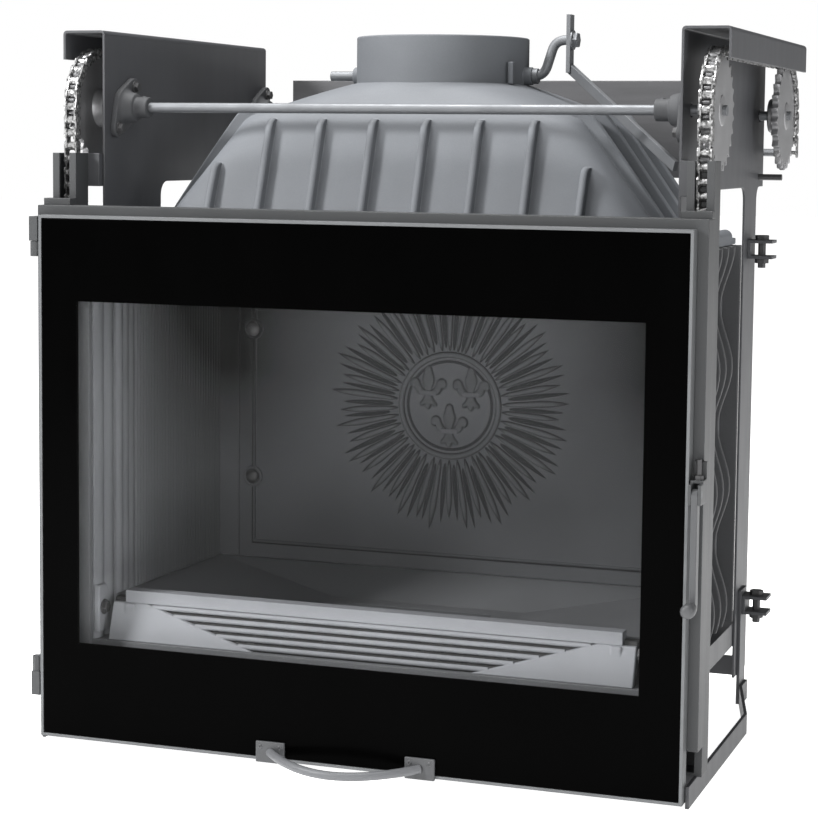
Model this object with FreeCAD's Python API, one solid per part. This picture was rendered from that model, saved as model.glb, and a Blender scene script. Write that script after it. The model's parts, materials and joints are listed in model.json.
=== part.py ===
import FreeCAD, Part
import os
from math import asin, cos, degrees, pi, radians, sin, tan

# Cast-iron fireplace insert: a glazed door that lifts in two guide rails on roller chains,
# balanced by a counterweight behind, and that also swings on side hinges for cleaning.
# Millimetres. X is to the right, Y is the depth behind the face of the glass, Z is up
# from the floor. The last step moves the origin to the middle of the base.

V = FreeCAD.Vector

# Sides of the prisms that stand for nuts and for small round pieces
HEX_SIDES = 6
ROUND_SIDES = 8

# Door glass and its printed border
GLASS_WIDTH = 780.0
GLASS_HEIGHT = 620.0
GLASS_THICKNESS = 4.0
GLASS_BOTTOM = 10.0
BORDER_SIDE = 46.5
BORDER_TOP = 97.0
BORDER_BOTTOM = 113.0
PRINT_THICKNESS = 0.3

# Door frame, its seals and its handle
GLASS_GAP = 0.5
RIM_THICKNESS = 3.5
RIM_DEPTH = 18.0
GLASS_SEAL_THICKNESS = 5.7
GLASS_SEAL_WIDTH = 26.0
FLANGE_THICKNESS = 3.0
FLANGE_SETBACK = 6.0
DOOR_SEAL_WIDTH = 12.0
DOOR_SEAL_DEPTH = 7.1
SEAL_CLEARANCE = 0.3
HANDLE_SPAN = 184.0
HANDLE_REACH = 54.0
HANDLE_ROD_RADIUS = 5.0
HANDLE_DROOP = 5.0
HANDLE_TRIM_ANGLE = 6.0
HANDLE_SECTIONS = 9
HANDLE_PLATE_WIDTH = 36.0
HANDLE_PLATE_HEIGHT = 25.0
HANDLE_PLATE_THICKNESS = 4.0
HANDLE_PLATE_BOTTOM = 4.0

# Lifting frame that carries the door
LIFT_SIDE_REACH = 12.0
LIFT_TOP_REACH = 11.0
LIFT_BOTTOM_RISE = 56.0
LIFT_PLATE = 5.0
LIFT_FLANGE = 4.0
LIFT_DEPTH = 30.0
LIFT_BORDER_SIDE = 51.0
LIFT_BORDER_TOP = 85.0
LIFT_BORDER_BOTTOM = 43.0
LIFT_SEAL_WIDTH = 10.0
LIFT_SEAL_DEPTH = 7.0
LIFT_SEAL_INSET = 5.0
TAB_WIDTH = 35.0
TAB_DEPTH = 15.0
TAB_HEIGHT = 8.0

# Door hinges
HINGE_AXIS_OUT = 8.5
HINGE_AXIS_DEPTH = 8.0
HINGE_PIN_RADIUS = 3.5
HINGE_BARREL_RADIUS = 6.2
HINGE_BLOCK_HEIGHT = 29.0
HINGE_BLOCK_HALF_WIDTH = 5.6
HINGE_KNUCKLE_HEIGHT = 18.0
HINGE_GAP = 0.5
HINGE_TOP_DROP = 2.0
HINGE_BOTTOM_RISE = 48.0
RUNNING_FIT = 0.05

# Door latch on the right of the lifting frame
LATCH_SIDE_GAP = 2.0
LATCH_EAR = 3.2
LATCH_EAR_HEIGHT = 22.0
LATCH_PIVOT_HEIGHT = 351.0
LATCH_PIVOT_FORWARD = 6.0
LATCH_PIN_RADIUS = 4.0
LATCH_LEVER_WIDTH = 7.0
LATCH_LEVER_DEPTH = 12.0
LATCH_LEVER_LENGTH = 122.0
LATCH_CLEARANCE = 0.3
LATCH_KNOB_RADIUS = 8.0
LATCH_KNOB_LENGTH = 28.0
LATCH_KNOB_NECK_RADIUS = 4.4
LATCH_KNOB_NECK_LENGTH = 8.4
LATCH_SCREW_RADIUS = 3.0
LATCH_SCREW_HEIGHT = 22.0
LATCH_NUT_RADIUS = 5.4
LATCH_NUT_HEIGHT = 4.8

# Roller chain and sprockets
PITCH = 15.875
TEETH = 26
ROLLER_RADIUS = 5.0
ROLLER_SIDES = 4
CHAIN_INNER_WIDTH = 9.65
CHAIN_PLATE = 1.7
CHAIN_PLATE_HEIGHT = 13.6
TOP_RUN_LINKS = 26
REAR_RUN_LINKS = 3
SPROCKET_THICKNESS = 8.0
TOOTH_CLEARANCE = 0.4
TOOTH_HEIGHT = 9.6
TOOTH_ROOT_HALF = 4.2
TOOTH_TIP_HALF = 1.0
HUB_RADIUS = 22.0
HUB_LENGTH = 14.0

# Drive shaft, stub shafts and bearings
SHAFT_RADIUS = 6.0
SHAFT_RISE = 118.0
SHAFT_OVERHANG = 6.0
STUB_INNER = 26.0
BEARING_FLANGE = 7.0
BEARING_HUB_RADIUS = 17.0
BEARING_HUB_LENGTH = 16.0
BEARING_BOLT_SPACING = 66.0
BEARING_BOLT_RADIUS = 5.5
BEARING_EAR_RADIUS = 11.0
BEARING_TILT = -40.0
SHAFT_HOLE_CLEARANCE = 4.0

# Side plates: folded housings with legs
PLATE_INSET = 33.5
PLATE_THICKNESS = 3.0
HOUSING_WIDTH = 56.0
HOUSING_RISE = 92.0
HOUSING_LIP = 35.0
HOUSING_FRONT_REACH = 46.0
HOUSING_REAR_REACH = 31.25
LEG_CUT_DROP = 92.0
LEG_CUT_RADIUS = 18.0
FRONT_LEG_WIDTH = 154.0
REAR_LEG_FRONT = 465.0
REAR_LEG_WIDTH = 76.0
REAR_LEG_BOTTOM = 38.0

# Guide rails
RAIL_INSET = 17.5
RAIL_WIDTH = 31.0
RAIL_DEPTH = 31.0
RAIL_WALL = 2.5
RAIL_SLOT = 13.5
RAIL_GAP = 3.6
RAIL_TOP_DROP = 56.0
RAIL_CHAIN_SET = 20.15
RAIL_FOOT = 4.0
SHOE_CLEARANCE = 0.5
SHOE_HEAD = 8.5
SHOE_HEIGHT = 20.0
SHOE_RISE = 165.0

# Base frame
FOOT_BAR_HEIGHT = 25.0
FOOT_BAR_THICKNESS = 4.0
FOOT_INSET = 7.0
FOOT_FRONT = 12.0
FOOT_BEND = 344.0
REAR_FOOT_WIDTH = 36.0
REAR_FOOT_HEIGHT = 150.0
REAR_FOOT_SET = 16.0
CROSS_BAR = 25.0
ANGLE_SIZE = 30.0
ANGLE_WALL = 4.0
BRACKET_HEIGHT = 40.0
BRACKET_REACH = 34.0
BRACKET_WALL = 3.0
CLAMP_REACH = 32.0
CLAMP_DEPTH = 32.0
CLAMP_HEIGHT = 24.0
CLAMP_WALL = 4.0
CLAMP_UPPER = 580.0
CLAMP_LOWER = 118.0
CLAMP_BOLT_RADIUS = 5.0
BOLT_HEAD_RADIUS = 9.0
BOLT_HEAD_HEIGHT = 6.0
GUARD_PIN_RADIUS = 4.0

# Firebox
MOUTH_SIDE_GAP = 10.0
MOUTH_DROP = 15.0
MOUTH_RISE = 32.0
MOUTH_FRAME_SIDE = 25.0
MOUTH_FRAME_BELOW = 38.0
MOUTH_FRAME_ABOVE = 70.0
CASTING = 8.0
BASE_STEP = 2.0
BASE_THICKNESS = 10.0
FIREBOX_REAR = 444.0
WALL_SPLAY = 14.0
FIREBOX_RISE = 35.0
LINER_THICKNESS = 10.0
LINER_FRONT = 88.0
FLUTE_COUNT = 26
FLUTE_DEPTH = 4.0
FIREBACK_SET = 80.0
FIREBACK_SIDE_GAP = 28.0
FIREBACK_BORDER = 24.0
FIREBACK_RELIEF = 3.0
MEDALLION_DROP = 214.0
MEDALLION_SIDES = 24
MEDALLION_RADIUS = 66.0
RAY_RADIUS = 156.0
RAY_COUNT = 36
RAY_SHORTER = 22.0
RAY_ROOT_HALF = 4.0
RAY_TIP_HALF = 5.2
RAY_OVERLAP = 1.3
FIREBACK_BOLT_INSET = 20.0
FIREBACK_BOLT_RISE = 109.0
FIREBACK_BOLT_DROP = 125.0
WALL_RIB = 8.0
WALL_RIB_COUNT = 4
WALL_RIB_PITCH = 34.0
WALL_RIB_FIRST = 280.0
REAR_RIB_COUNT = 5

# Hearth, sill and grate
HEARTH_RIM_RISE = 49.0
HEARTH_FLOOR_RISE = 21.0
HEARTH_FRONT = 78.0
HEARTH_FLOOR_HALF_WIDTH = 132.0
HEARTH_FLOOR_FRONT = 150.0
HEARTH_FLOOR_REAR = 285.0
HEARTH_GAP = 1.0
GRATE_HALF_WIDTH = 95.0
GRATE_FRONT = 180.0
GRATE_DEPTH = 76.0
GRATE_THICKNESS = 8.0
GRATE_LEDGE = 8.0
GRATE_SLOTS = 7
GRATE_SLOT_END = 12.0
ASH_BOX_DEPTH = 58.0
SHEET_THICKNESS = 3.0
SILL_END_GAP = 19.0
SILL_THICKNESS = 12.0
SILL_FRONT = 48.0
SILL_RIBS = 4
SILL_RIB_HEIGHT = 6.0
SILL_RIB_DEPTH = 7.0
SILL_FIRST_RIB = 7.0
SILL_RIB_LAP = 6.0
SILL_CHEEK_TOP = 28.0
SILL_CHEEK_BOTTOM = 190.0
LOG_BAR_HEIGHT = 10.0
LOG_BAR_LIP = 5.0
LOG_BAR_END_GAP = 24.0

# Hood, flue collar and damper
HOOD_SIDE_GAP = 5.0
HOOD_LEDGE = 28.0
HOOD_SLOPE = 105.0
HOOD_BASE_FRONT = 120.0
HOOD_TOP_FRONT = 173.0
HOOD_HEIGHT = 144.0
HOOD_CORNER = 32.0
HOOD_RIB_PITCH = 66.5
HOOD_RIB_COUNT = 8
HOOD_RIB_THICKNESS = 8.0
HOOD_RIB_PROUD = 11.0
HOOD_RIB_DROP = 10.0
HOOD_SHORT_RIB_DROP = 62.0
HOOD_SIDE_RIBS = 4
HOOD_SIDE_RIB_FIRST = 200.0
HOOD_SIDE_RIB_PITCH = 60.0
COLLAR_DEPTH = 322.0
COLLAR_RADIUS = 108.0
FLUE_RADIUS = 101.0
DOME_RISE = 43.0
COLLAR_HEIGHT = 59.0
COLLAR_SIDES = 32
SOCKET_RADIUS = 103.0
SOCKET_DEPTH = 32.0
BOSS_RADIUS = 11.0
BOSS_LENGTH = 10.0
SPINDLE_RADIUS = 6.0
SPINDLE_RISE = 12.0
SPINDLE_LEFT = 150.0
CRANK_START = 132.0
CRANK_LEAN = 14.0
CRANK_THROW = 44.0
CRANK_PIN_END = 176.0
CRANK_NUT_RADIUS = 10.7
FLAP_RADIUS = 98.0
FLAP_THICKNESS = 4.0
FLAP_SEAT = 0.5
FLAP_SIDES = 24
LINK_WIDTH = 12.0
LINK_THICKNESS = 5.0
LINK_X = 162.0
LINK_RISE = 31.0
LINK_DROP = 40.0
LINK_END_INSET = 12.0
LINK_END_DEPTH = 130.0
LINK_FALL = 117.0
BAFFLE_THICKNESS = 8.0
BAFFLE_FRONT_DEPTH = 200.0
BAFFLE_REAR_GAP = 12.0
BAFFLE_FRONT_DROP = 15.0
BAFFLE_REAR_DROP = 95.0

# Counterweight
WEIGHT_END_GAP = 33.0
WEIGHT_THICKNESS = 27.0
WEIGHT_HEIGHT = 130.0
WEIGHT_RISE = 47.0
HANGER_RADIUS = 5.0
HANGER_DEPTH = 50.0

# Values that follow from the sizes above
GLASS_TOP = GLASS_BOTTOM + GLASS_HEIGHT
WINDOW_HALF_WIDTH = GLASS_WIDTH / 2 - BORDER_SIDE
WINDOW_BOTTOM = GLASS_BOTTOM + BORDER_BOTTOM
WINDOW_TOP = GLASS_TOP - BORDER_TOP
RIM_INNER_HALF = GLASS_WIDTH / 2 + GLASS_GAP
DOOR_HALF_WIDTH = RIM_INNER_HALF + RIM_THICKNESS
DOOR_BOTTOM = GLASS_BOTTOM - GLASS_GAP - RIM_THICKNESS
DOOR_TOP = GLASS_TOP + GLASS_GAP + RIM_THICKNESS
LIFT_HALF_WIDTH = DOOR_HALF_WIDTH + LIFT_SIDE_REACH
LIFT_TOP = DOOR_TOP + LIFT_TOP_REACH
LIFT_BOTTOM = DOOR_BOTTOM + LIFT_BOTTOM_RISE
RAIL_X = LIFT_HALF_WIDTH - RAIL_INSET
PLATE_X = RAIL_X - PLATE_INSET
FOOT_OUTER_X = LIFT_HALF_WIDTH - FOOT_INSET
MOUTH_HALF_WIDTH = PLATE_X - MOUTH_SIDE_GAP
MOUTH_FRAME_HALF_WIDTH = MOUTH_HALF_WIDTH + MOUTH_FRAME_SIDE
MOUTH_BOTTOM = WINDOW_BOTTOM - MOUTH_DROP
MOUTH_TOP = WINDOW_TOP + MOUTH_RISE
MOUTH_FRAME_BOTTOM = MOUTH_BOTTOM - MOUTH_FRAME_BELOW
MOUTH_FRAME_TOP = MOUTH_TOP + MOUTH_FRAME_ABOVE
REAR_HALF_WIDTH = MOUTH_HALF_WIDTH - WALL_SPLAY
SILL_HALF_WIDTH = MOUTH_HALF_WIDTH - SILL_END_GAP
WEIGHT_HALF_WIDTH = PLATE_X - WEIGHT_END_GAP
PRINT_BACK = GLASS_THICKNESS + PRINT_THICKNESS
FLANGE_FRONT = PRINT_BACK + GLASS_SEAL_THICKNESS
FLANGE_BACK = FLANGE_FRONT + FLANGE_THICKNESS
LIFT_FRONT = FLANGE_BACK + DOOR_SEAL_DEPTH + SEAL_CLEARANCE
LIFT_PLATE_BACK = LIFT_FRONT + LIFT_PLATE
LIFT_BACK = LIFT_FRONT + LIFT_DEPTH
MOUTH_FRONT = LIFT_PLATE_BACK + LIFT_SEAL_DEPTH + SEAL_CLEARANCE
MOUTH_BACK = MOUTH_FRONT + CASTING
BASE_BOTTOM = MOUTH_BOTTOM + BASE_STEP
BASE_TOP = BASE_BOTTOM + BASE_THICKNESS
HEARTH_RIM = BASE_TOP + HEARTH_RIM_RISE
HEARTH_FLOOR = BASE_TOP + HEARTH_FLOOR_RISE
FIREBOX_TOP = MOUTH_TOP + FIREBOX_RISE
REAR_WALL_FRONT = FIREBOX_REAR - CASTING
FIREBACK_FRONT = FIREBOX_REAR - FIREBACK_SET
MEDALLION_HEIGHT = FIREBOX_TOP - MEDALLION_DROP
HINGE_X = -(DOOR_HALF_WIDTH + HINGE_AXIS_OUT)
RAIL_FRONT = LIFT_BACK + RAIL_GAP
RAIL_BACK = RAIL_FRONT + RAIL_DEPTH
PITCH_RADIUS = PITCH / 2 / sin(pi / TEETH)
TOOTH_ANGLE = 2 * pi / TEETH
FRONT_RUN_DEPTH = RAIL_FRONT + RAIL_CHAIN_SET
SHAFT_DEPTH = FRONT_RUN_DEPTH + PITCH_RADIUS
SHAFT_HEIGHT = LIFT_TOP + SHAFT_RISE
REAR_SHAFT_DEPTH = SHAFT_DEPTH + TOP_RUN_LINKS * PITCH
REAR_RUN_DEPTH = REAR_SHAFT_DEPTH + PITCH_RADIUS
FRONT_RUN_LINKS = 2 * round((SHAFT_HEIGHT - LIFT_BOTTOM - SHOE_HEIGHT) / PITCH / 2)
ANCHOR_HEIGHT = SHAFT_HEIGHT - FRONT_RUN_LINKS * PITCH
HANGER_HEIGHT = SHAFT_HEIGHT - REAR_RUN_LINKS * PITCH
OUTER_PLATE_INSIDE = CHAIN_INNER_WIDTH / 2 + CHAIN_PLATE
CHAIN_HALF_WIDTH = OUTER_PLATE_INSIDE + CHAIN_PLATE
RAIL_TOP = SHAFT_HEIGHT - RAIL_TOP_DROP
HOUSING_OUTER = PLATE_X + HOUSING_WIDTH
HOUSING_TOP = SHAFT_HEIGHT + HOUSING_RISE
HOUSING_FRONT = SHAFT_DEPTH - HOUSING_FRONT_REACH
HOUSING_REAR = REAR_SHAFT_DEPTH + HOUSING_REAR_REACH
LEG_CUT_TOP = SHAFT_HEIGHT - LEG_CUT_DROP
PLATE_OUTER = PLATE_X + PLATE_THICKNESS
WEIGHT_FRONT = REAR_RUN_DEPTH - WEIGHT_THICKNESS / 2
WEIGHT_BACK = REAR_RUN_DEPTH + WEIGHT_THICKNESS / 2
WEIGHT_TOP = SHAFT_HEIGHT + WEIGHT_RISE
HOOD_FLANGE_TOP = FIREBOX_TOP + CASTING
HOOD_FLANGE_HALF_WIDTH = PLATE_X - HOOD_SIDE_GAP
HOOD_BASE_HALF_WIDTH = HOOD_FLANGE_HALF_WIDTH - HOOD_LEDGE
HOOD_TOP_HALF_WIDTH = HOOD_BASE_HALF_WIDTH - HOOD_SLOPE
HOOD_SHOULDER = HOOD_FLANGE_TOP + HOOD_HEIGHT
HOOD_RIB_TOP = HOOD_SHOULDER - HOOD_RIB_DROP
HOOD_SHORT_RIB_TOP = HOOD_SHOULDER - HOOD_SHORT_RIB_DROP
COLLAR_BASE = HOOD_SHOULDER + DOME_RISE
COLLAR_TOP = COLLAR_BASE + COLLAR_HEIGHT
SPINDLE_HEIGHT = COLLAR_BASE + SPINDLE_RISE
CRANK_PIN_HEIGHT = SPINDLE_HEIGHT + CRANK_THROW
MIDDLE_DEPTH = (WEIGHT_BACK - HANDLE_REACH) / 2


def box(x0, x1, y0, y1, z0, z1):
    return Part.makeBox(x1 - x0, y1 - y0, z1 - z0, V(x0, y0, z0))


def rod_x(radius, x0, x1, y, z):
    return Part.makeCylinder(radius, x1 - x0, V(x0, y, z), V(1, 0, 0))


def rod_z(radius, z0, z1, x, y):
    return Part.makeCylinder(radius, z1 - z0, V(x, y, z0), V(0, 0, 1))


def prism(points, travel):
    """Closed outline of points, extruded along travel."""
    return Part.Face(Part.makePolygon(points + points[:1])).extrude(travel)


def prism_x(outline, x0, x1):
    """Outline of (depth, height) points, extruded across the width."""
    return prism([V(x0, y, z) for y, z in outline], V(x1 - x0, 0, 0))


def prism_z(outline, z0, z1):
    """Outline of (width, depth) points, extruded upwards."""
    return prism([V(x, y, z0) for x, y in outline], V(0, 0, z1 - z0))


def prism_y(outline, y0, y1):
    """Outline of (width, height) points, extruded towards the back."""
    return prism([V(x, y0, z) for x, z in outline], V(0, y1 - y0, 0))


def polygon(radius, sides, u, v):
    """Regular outline about (u, v), for the small round pieces."""
    step = 2 * pi / sides
    return [(u + radius * cos(k * step), v + radius * sin(k * step)) for k in range(sides)]


def fuse(shapes):
    return shapes[0].multiFuse(shapes[1:]).removeSplitter()


def mirrored(shape):
    return shape.mirror(V(0, 0, 0), V(1, 0, 0))


def both_sides(shape):
    return Part.makeCompound([shape, mirrored(shape)])


def ring(half_width, z0, z1, hole_half_width, hole_z0, hole_z1, y0, y1):
    """Rectangular picture frame standing across the width."""
    body = box(-half_width, half_width, y0, y1, z0, z1)
    return body.cut(box(-hole_half_width, hole_half_width, y0, y1, hole_z0, hole_z1))


def bar_between(start, end, width, thickness):
    """Flat bar from start to end, its width upright."""
    along = end - start
    bar = Part.makeBox(along.Length, thickness, width, V(0, -thickness / 2, -width / 2))
    yaw = FreeCAD.Rotation(V(1, 0, 0), V(along.x, along.y, 0))
    pitch = FreeCAD.Rotation(V(0, 1, 0), -degrees(asin(along.z / along.Length)))
    bar.Placement = FreeCAD.Placement(start, yaw * pitch)
    return bar


def chamfered_outline(half_width, front, rear, corner, height):
    """Plan of the hood at one height: a rectangle with its corners cut off."""
    plan = [
        (half_width - corner, front),
        (half_width, front + corner),
        (half_width, rear - corner),
        (half_width - corner, rear),
    ]
    plan += [(-x, y) for x, y in reversed(plan)]
    return [V(x, y, height) for x, y in plan]


def flat_face(corners):
    return Part.Face(Part.makePolygon(corners + corners[:1]))


def tapered(lower, upper):
    """Solid between two outlines that have the same corners at two heights, all faces flat."""
    faces = [flat_face(lower), flat_face(upper)]
    for k in range(len(lower)):
        faces.append(flat_face([lower[k - 1], lower[k], upper[k], upper[k - 1]]))
    solid = Part.Solid(Part.Shell(faces))
    if solid.Volume < 0:
        solid.reverse()
    return solid


def wall_x(depth):
    """Inner face of the right firebox wall, which splays towards the mouth."""
    share = (depth - MOUTH_BACK) / (FIREBOX_REAR - MOUTH_BACK)
    return MOUTH_HALF_WIDTH + (REAR_HALF_WIDTH - MOUTH_HALF_WIDTH) * share


def liner_x(depth):
    return wall_x(depth) - LINER_THICKNESS


# Glazed door

def door_frame():
    rim = ring(DOOR_HALF_WIDTH, DOOR_BOTTOM, DOOR_TOP, RIM_INNER_HALF,
               GLASS_BOTTOM - GLASS_GAP, GLASS_TOP + GLASS_GAP, 0, RIM_DEPTH)
    flange = ring(RIM_INNER_HALF, GLASS_BOTTOM - GLASS_GAP, GLASS_TOP + GLASS_GAP,
                  WINDOW_HALF_WIDTH + FLANGE_SETBACK, WINDOW_BOTTOM - FLANGE_SETBACK,
                  WINDOW_TOP + FLANGE_SETBACK, FLANGE_FRONT, FLANGE_BACK)
    return fuse([rim, flange])


def door_glass():
    return box(-GLASS_WIDTH / 2, GLASS_WIDTH / 2, 0, GLASS_THICKNESS, GLASS_BOTTOM, GLASS_TOP)


def printed_border():
    return ring(GLASS_WIDTH / 2, GLASS_BOTTOM, GLASS_TOP, WINDOW_HALF_WIDTH, WINDOW_BOTTOM,
                WINDOW_TOP, GLASS_THICKNESS, PRINT_BACK)


def flange_seal(width, y0, y1):
    """Seal that runs round the flange, set back from its opening."""
    inner = FLANGE_SETBACK + FLANGE_THICKNESS
    outer = inner + width
    return ring(WINDOW_HALF_WIDTH + outer, WINDOW_BOTTOM - outer, WINDOW_TOP + outer,
                WINDOW_HALF_WIDTH + inner, WINDOW_BOTTOM - inner, WINDOW_TOP + inner, y0, y1)


def hinge_levels():
    """Bottom of each hinge's block and of its knuckle: the top hinge, then the bottom one."""
    top_block = DOOR_TOP - HINGE_TOP_DROP - HINGE_BLOCK_HEIGHT
    bottom_block = DOOR_BOTTOM + HINGE_BOTTOM_RISE
    return (
        (top_block, top_block - HINGE_GAP - HINGE_KNUCKLE_HEIGHT),
        (bottom_block, bottom_block + HINGE_BLOCK_HEIGHT + HINGE_GAP),
    )


def hinge_knuckles():
    knuckles = []
    for _, bottom in hinge_levels():
        top = bottom + HINGE_KNUCKLE_HEIGHT
        barrel = prism_z(polygon(HINGE_BARREL_RADIUS, ROUND_SIDES, HINGE_X, HINGE_AXIS_DEPTH), bottom, top)
        web = box(HINGE_X, -DOOR_HALF_WIDTH, HINGE_AXIS_DEPTH - HINGE_PIN_RADIUS,
                  HINGE_AXIS_DEPTH + HINGE_BARREL_RADIUS, bottom, top)
        bore = rod_z(HINGE_PIN_RADIUS + RUNNING_FIT, bottom, top, HINGE_X, HINGE_AXIS_DEPTH)
        knuckles.append(fuse([barrel, web]).cut(bore))
    return Part.makeCompound(knuckles)


def handle_plates():
    centre = HANDLE_SPAN / 2
    plate = box(centre - HANDLE_PLATE_WIDTH / 2, centre + HANDLE_PLATE_WIDTH / 2,
                -HANDLE_PLATE_THICKNESS, 0, HANDLE_PLATE_BOTTOM,
                HANDLE_PLATE_BOTTOM + HANDLE_PLATE_HEIGHT)
    return both_sides(plate)


def handle_bar():
    """Round bar bowed towards the user, with its ends on the two plates."""
    height = HANDLE_PLATE_BOTTOM + HANDLE_PLATE_HEIGHT / 2
    end = V(HANDLE_SPAN / 2, -HANDLE_PLATE_THICKNESS, height)
    middle = V(0, HANDLE_ROD_RADIUS - HANDLE_REACH, height - HANDLE_DROOP)
    rise = end - middle
    rise.x = 0
    sagitta = rise.Length
    radius = ((HANDLE_SPAN / 2) ** 2 + sagitta ** 2) / (2 * sagitta)
    axis = rise.cross(V(1, 0, 0)).normalize()
    centre = middle + rise.normalize() * radius
    half_angle = degrees(asin(HANDLE_SPAN / 2 / radius)) + HANDLE_TRIM_ANGLE
    sections = []
    for k in range(HANDLE_SECTIONS):
        turn = FreeCAD.Rotation(axis, half_angle * (2 * k / (HANDLE_SECTIONS - 1) - 1))
        points = [turn.multVec(V(0, y, z) + middle - centre) + centre
                  for y, z in polygon(HANDLE_ROD_RADIUS, ROUND_SIDES, 0, 0)]
        sections.append(Part.makePolygon(points + points[:1]))
    room = box(-HANDLE_SPAN, HANDLE_SPAN, -2 * HANDLE_REACH, -HANDLE_PLATE_THICKNESS,
               -HANDLE_SPAN, HANDLE_SPAN)
    return Part.makeLoft(sections, True, True).common(room)


# Lifting frame

def lift_frame():
    hole_bottom = LIFT_BOTTOM + LIFT_BORDER_BOTTOM
    hole_top = LIFT_TOP - LIFT_BORDER_TOP
    plate = ring(LIFT_HALF_WIDTH, LIFT_BOTTOM, LIFT_TOP, LIFT_HALF_WIDTH - LIFT_BORDER_SIDE,
                 hole_bottom, hole_top, LIFT_FRONT, LIFT_PLATE_BACK)
    sides = [box(sign * LIFT_HALF_WIDTH - (LIFT_FLANGE if sign > 0 else 0),
                 sign * LIFT_HALF_WIDTH + (0 if sign > 0 else LIFT_FLANGE),
                 LIFT_PLATE_BACK, LIFT_BACK, LIFT_BOTTOM, LIFT_TOP) for sign in (1, -1)]
    top = box(-LIFT_HALF_WIDTH, LIFT_HALF_WIDTH, LIFT_PLATE_BACK, LIFT_BACK,
              LIFT_TOP - LIFT_FLANGE, LIFT_TOP)
    return fuse([plate, top] + sides)


def lift_seal():
    """Rope seal on the back of the lifting frame, against the mouth of the firebox."""
    inner = LIFT_HALF_WIDTH - LIFT_BORDER_SIDE + LIFT_SEAL_INSET
    bottom = LIFT_BOTTOM + LIFT_BORDER_BOTTOM - LIFT_SEAL_INSET
    top = LIFT_TOP - LIFT_BORDER_TOP + LIFT_SEAL_INSET
    return ring(inner + LIFT_SEAL_WIDTH, bottom - LIFT_SEAL_WIDTH, top + LIFT_SEAL_WIDTH, inner,
                bottom, top, LIFT_PLATE_BACK, LIFT_PLATE_BACK + LIFT_SEAL_DEPTH)


def frame_tabs():
    tab = box(LIFT_HALF_WIDTH - TAB_WIDTH, LIFT_HALF_WIDTH, LIFT_BACK - TAB_DEPTH, LIFT_BACK,
              LIFT_TOP, LIFT_TOP + TAB_HEIGHT)
    return both_sides(tab)


def shoe(bottom):
    """Slide shoe: a head behind the lips of the rail on a neck through its slot."""
    neck_half = RAIL_SLOT / 2 - SHOE_CLEARANCE
    head_half = RAIL_WIDTH / 2 - RAIL_WALL - SHOE_CLEARANCE
    head_front = RAIL_FRONT + RAIL_WALL + SHOE_CLEARANCE
    neck = box(RAIL_X - neck_half, RAIL_X + neck_half, LIFT_PLATE_BACK, head_front, bottom,
               bottom + SHOE_HEIGHT)
    head = box(RAIL_X - head_half, RAIL_X + head_half, head_front, head_front + SHOE_HEAD, bottom,
               bottom + SHOE_HEIGHT)
    return fuse([neck, head])


def lower_shoe_bottom():
    return LIFT_BOTTOM + SHOE_CLEARANCE


def chain_lug():
    """Lug behind the lower shoe, up between the plates of the chain's last link."""
    lug_half = OUTER_PLATE_INSIDE - SHOE_CLEARANCE
    bottom = lower_shoe_bottom()
    front = RAIL_FRONT + RAIL_WALL + SHOE_CLEARANCE + SHOE_HEAD
    block = box(RAIL_X - lug_half, RAIL_X + lug_half, front, FRONT_RUN_DEPTH + ROLLER_RADIUS,
                bottom, bottom + SHOE_HEIGHT)
    tongue = box(RAIL_X - lug_half, RAIL_X + lug_half, FRONT_RUN_DEPTH - ROLLER_RADIUS,
                 FRONT_RUN_DEPTH + ROLLER_RADIUS, bottom, ANCHOR_HEIGHT + ROLLER_RADIUS)
    return fuse([block, tongue])


def slide_shoes():
    lower = fuse([shoe(lower_shoe_bottom()), chain_lug()])
    upper = shoe(lower_shoe_bottom() + SHOE_RISE)
    return both_sides(Part.makeCompound([lower, upper]))


def hinge_blocks():
    blocks = []
    for bottom, _ in hinge_levels():
        body = box(HINGE_X - HINGE_BLOCK_HALF_WIDTH, HINGE_X + HINGE_BLOCK_HALF_WIDTH,
                   HINGE_AXIS_DEPTH - HINGE_BLOCK_HALF_WIDTH, LIFT_FRONT, bottom,
                   bottom + HINGE_BLOCK_HEIGHT)
        bore = rod_z(HINGE_PIN_RADIUS, bottom, bottom + HINGE_BLOCK_HEIGHT, HINGE_X,
                     HINGE_AXIS_DEPTH)
        blocks.append(body.cut(bore))
    return Part.makeCompound(blocks)


def hinge_pins():
    pins = []
    for block, knuckle in hinge_levels():
        bottom = min(block, knuckle)
        top = max(block + HINGE_BLOCK_HEIGHT, knuckle + HINGE_KNUCKLE_HEIGHT)
        pins.append(rod_z(HINGE_PIN_RADIUS, bottom, top, HINGE_X, HINGE_AXIS_DEPTH))
    return pins


def latch_x():
    """Left faces of the inner ear, the lever and the outer ear."""
    inner = DOOR_HALF_WIDTH + LATCH_SIDE_GAP
    lever = inner + LATCH_EAR + LATCH_CLEARANCE
    outer = lever + LATCH_LEVER_WIDTH + LATCH_CLEARANCE
    return inner, lever, outer


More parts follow.
